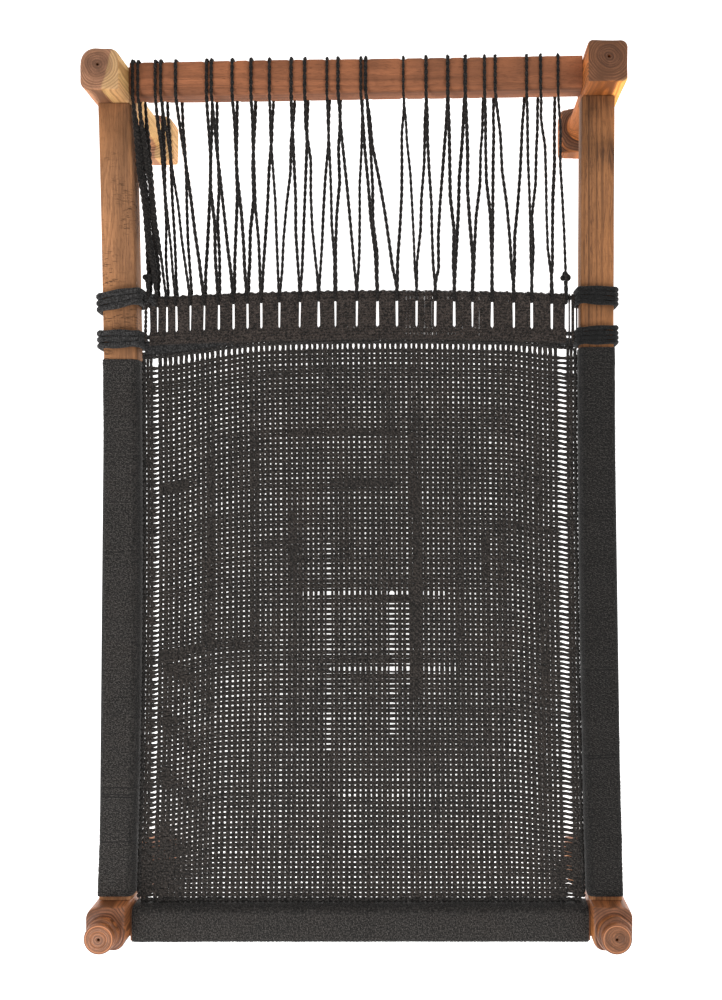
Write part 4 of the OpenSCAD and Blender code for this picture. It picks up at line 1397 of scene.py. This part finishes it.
def lashing_turn(line, side, at, share, radius, lean, turn):
    """Rings of one turn of rope round a side rail, grooved where its strings meet. share is its place among the
    turns, from 0 to 1. The turns lie close on the rail's outer side and lean towards the cross rope."""
    ring = rail_ring(WRAP_GAP + radius + 0.2 * MM, outer=radius + 6 * MM, arc=7)
    across = ring[:, 0] / RAIL_HALF * side
    slope = across * lean / 2 - (share - 0.5) * smooth(across, 0.2, 1.1) * 4 * MM
    loop = np.column_stack([line(at) + ring[:, 0], at + slope, ring[:, 1]])
    loop = spaced(np.concatenate([loop, loop[:1]]), 3 * MM)[:-1]
    out = unit(loop - np.array([line(at), at, (RAIL_TOP + RAIL_BOTTOM) / 2]))
    out[:, 1] = 0
    out = unit(out)
    aside = np.cross(unit(np.roll(loop, -1, 0) - np.roll(loop, 1, 0)), out)
    steps = np.arange(LASHING_STRINGS * 2)
    angle = (steps / len(steps) * math.tau)[None, :, None]
    groove = np.where(steps % 2, 1.0, 0.93)[None, :, None]
    uneven = 1 + 0.04 * np.sin(np.arange(len(loop)) * 0.35 + turn * 2)
    size = (radius * uneven)[:, None, None] * groove
    return loop[:, None] + size * (np.cos(angle) * out[:, None] + np.sin(angle) * aside[:, None] * 1.04)


class DAYBED_OT_lashings(bpy.types.Operator):
    """Winds a few turns of rope round each side rail where the cross ropes meet it"""
    bl_idname = "daybed.lashings"
    bl_label = "Lashings"

    def execute(self, context):
        string = context.scene.daybed.string
        black, rope = tuple(string.black), tuple(string.rope)
        left = string_finish("lashing_rope_left", (rope, black), 3.5 * MM, 1, painted_valley_shade=0.2)
        right = string_finish("lashing_rope_right", (tint(rope, 0.26), tint(rope, 0.36)), 3.5 * MM, 1,
                              fade=0.4, painted_valley_shade=0.2)
        for k, (name, line, side, finish, turns, radius, lean) in enumerate((
                ("lashing_upper_left", left_line, 1, left, 3, 6.8 * MM, 13 * MM),
                ("lashing_lower_left", left_line, 1, left, 3, 6.8 * MM, 2 * MM),
                ("lashing_upper_right", right_line, -1, right, 4, 5.2 * MM, 3 * MM),
                ("lashing_lower_right", right_line, -1, right, 4, 5.2 * MM, -2 * MM))):
            y0, y1 = node_span(name, 1)
            rng = np.random.default_rng(40 + k)
            strips = []
            for turn in range(turns):
                share = turn / (turns - 1)
                at = y0 + radius - MM + (y1 - y0 - 2 * radius + 2 * MM) * share + rng.uniform(-.4, .4) * MM
                strips.append(lashing_turn(line, side, at, share, radius, lean, turn))
            finished(loft(name, strips, closed=True), finish, "rope", name)
        return {"FINISHED"}


# ------------------------------------------------------------------------------------------------ the lacing
def over_rail(x):
    """Corners of one turn of the lacing over the foot rail, from below."""
    y, out = foot_line(x), RAIL_HALF + LACING_OFF - BITE
    low, high = RAIL_BOTTOM - LACING_OFF + BITE, RAIL_TOP + LACING_OFF - BITE
    return [(x, y - out, low), (x, y + out, low), (x, y + out, high), (x, y - out, high)]


def round_rope(x):
    """Corners of one turn of the lacing round the upper cross rope, from above."""
    y, half, rise = band_line(x), UPPER_ROPE / 2 + LACING_OFF, ROPE_THICK / 2 + LACING_OFF
    return [(x, y + half, WEB_Z + rise), (x, y - half, WEB_Z + rise),
            (x, y - half, WEB_Z - rise), (x, y + half, WEB_Z - rise)]


def lacing_route():
    """The lacing's corners, from the left knot to the right one."""
    turns, slots = [x * MM for x in TURN_X], [x * MM for x in SLOT_X]
    first, last = round_rope(slots[0]), round_rope(slots[len(turns)])
    route = [tuple(np.add(first[0], (0, LACING_TAIL, 0))), *first]
    for i, x in enumerate(turns):
        route += over_rail(x) + round_rope(slots[i + 1])
    route.append(tuple(np.add(last[3], (0, LACING_TAIL, 0))))
    return [np.array(p) for p in route]


def overhand_knot(at, size, radius, turn):
    """Rings of a cord tied in a knot about a point, turned that far about Z."""
    t = np.linspace(0, math.tau, 61)[:-1]
    x = np.sin(t) + 2 * np.sin(2 * t)
    y = np.cos(t) - 2 * np.cos(2 * t)
    z = -np.sin(3 * t) * 1.2
    c, s = math.cos(turn), math.sin(turn)
    loop = np.stack([x * c - y * s, x * s + y * c, z], axis=1) / 3 * (size - radius) + np.array(at)
    tangent = unit(np.roll(loop, -1, 0) - np.roll(loop, 1, 0))
    aside = unit(np.cross(tangent, [0.1, 0.2, 1.0]))
    up = np.cross(tangent, aside)
    angle = (np.arange(8) / 8 * math.tau)[None, :, None]
    return loop[:, None] + radius * (np.cos(angle) * aside[:, None] + np.sin(angle) * up[:, None])


class DAYBED_OT_lacing(bpy.types.Operator):
    """Runs the two-ply lacing cord between the foot rail and the upper cross rope, and ties its knots"""
    bl_idname = "daybed.lacing"
    bl_label = "Lacing"

    def execute(self, context):
        string = context.scene.daybed.string
        rng = np.random.default_rng(SEED + 5)
        finish = string_finish("lacing_cord", ((0.0150, 0.0128, 0.0115), (0.034, 0.026, 0.021)),
                               5 * MM, 1, sheen=0.04, fade=0.35)
        path = spaced(rounded(lacing_route(), 7 * MM), 5 * MM)
        # Off the rail and the rope, the cord wanders a little and its thickness changes from run to run
        n = len(path)
        free = smooth(foot_line(path[:, 0]) - path[:, 1], 0.05, 0.12) \
            * smooth(path[:, 1] - band_line(path[:, 0]), 0.02, 0.06)
        knots = np.linspace(0, n, n // 14)
        for axis, size in ((0, 1.6 * MM), (2, 1.4 * MM)):
            path[:, axis] += free * np.interp(np.arange(n), knots, rng.normal(0, size, len(knots)))
        thick = 1 + np.interp(np.arange(n), np.linspace(0, n, 60), rng.uniform(-0.16, 0.2, 60))
        # On the far left several cords run side by side, as one thick bundle
        thick *= 1 + 0.85 * free * smooth(path[:, 0], -0.412, -0.425)
        strips = plied(path, string.ply * thick, string.twist, offset=0.52)
        finished(loft("lacing_cord", strips), finish, "lacing", "lacing_cord")
        for k, name in enumerate(("lacing_knot_left", "lacing_knot_right")):
            low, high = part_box(name)
            knot = overhand_knot(tuple((low + high) / 2), KNOT_SIZE, 3.5 * MM, k * 1.1)
            finished(loft(name, [knot], closed=True), finish, "lacing", name)
        return {"FINISHED"}


# ------------------------------------------------------------------------------------------------- the stage
class DAYBED_OT_stage(bpy.types.Operator):
    """Sets the pale floor, the soft lights and the camera that looks straight down"""
    bl_idname = "daybed.stage"
    bl_label = "Stage"

    def execute(self, context):
        stage = context.scene.daybed.stage
        deselect()
        bpy.ops.mesh.primitive_plane_add(size=14, location=(0, 0, -0.5 * MM))
        floor = bpy.context.object
        floor.name = "studio_floor"
        bpy.ops.object.transform_apply(location=True)
        made = Finish("pale_floor")
        shade = made.ramp(made.noise(made.place, 3, 2), [(0.3, (0.87,) * 3), (0.7, (0.90,) * 3)])
        shader = made.node("ShaderNodeBsdfPrincipled", {}, {
            "Base Color": shade, "Roughness": 0.9, "Emission Color": (1, 1, 1, 1), "Emission Strength": 0.95})
        floor.data.materials.append(made.output(shader))
        for name, at, size, power in (("key_light", (-2.2, -2.6, 3.2), 2.2, stage.key),
                                      ("fill_light", (2.6, 1.8, 3.0), 2.6, stage.fill),
                                      ("shine_light", (2.0, -2.4, 3.0), 0.9, stage.fill * 0.6)):
            bpy.ops.object.light_add(type="AREA", location=at)
            light = bpy.context.object
            light.name = name
            light.data.size = size
            light.data.energy = power
            aim = Vector((0, 0, 0.3)) - Vector(at)
            light.rotation_euler = aim.to_track_quat("-Z", "Y").to_euler()
        world = bpy.data.worlds.new("studio")
        context.scene.world = world
        world.use_nodes = True
        sky = world.node_tree.nodes["Background"]
        sky.inputs["Color"].default_value = (1, 1, 1, 1)
        sky.inputs["Strength"].default_value = stage.sky
        bpy.ops.object.camera_add(location=stage.camera_at, rotation=(0, 0, 0))
        camera = bpy.context.object
        camera.name = "camera"
        camera.data.sensor_fit = "VERTICAL"
        camera.data.sensor_height = 36
        camera.data.lens = 36
        camera.data.shift_x = -0.073
        camera.data.shift_y = -0.006
        camera.data.dof.use_dof = False
        context.scene.camera = camera
        context.scene.view_settings.view_transform = "Standard"
        return {"FINISHED"}


class DAYBED_PT_panel(bpy.types.Panel):
    """Lists the daybed's pieces"""
    bl_idname = "DAYBED_PT_panel"
    bl_label = "Daybed"
    bl_space_type = "VIEW_3D"
    bl_region_type = "UI"
    bl_category = "Daybed"

    def draw(self, context):
        for operator in PIECES:
            self.layout.operator(operator.bl_idname)
        for group in ("wood", "string", "web", "stage"):
            box = self.layout.box()
            settings = getattr(context.scene.daybed, group)
            for key in settings.__annotations__:
                box.prop(settings, key)


PIECES = (DAYBED_OT_stage, DAYBED_OT_legs, DAYBED_OT_rails, DAYBED_OT_wound_rails, DAYBED_OT_web,
          DAYBED_OT_web_edges, DAYBED_OT_band, DAYBED_OT_lashings, DAYBED_OT_lacing)
CLASSES = (WoodSettings, StringSettings, WebSettings, StageSettings, DaybedSettings, *PIECES, DAYBED_PT_panel)


def register():
    """Adds the settings, the operators and the panel to Blender."""
    for cls in CLASSES:
        bpy.utils.register_class(cls)
    bpy.types.Scene.daybed = PointerProperty(type=DaybedSettings)


def unregister():
    """Takes them away again."""
    del bpy.types.Scene.daybed
    for cls in reversed(CLASSES):
        bpy.utils.unregister_class(cls)


def main():
    """Makes every piece."""
    register()
    for operator in PIECES:
        group, name = operator.bl_idname.split(".")
        getattr(getattr(bpy.ops, group), name)()


if __name__ == "__main__":
    main()
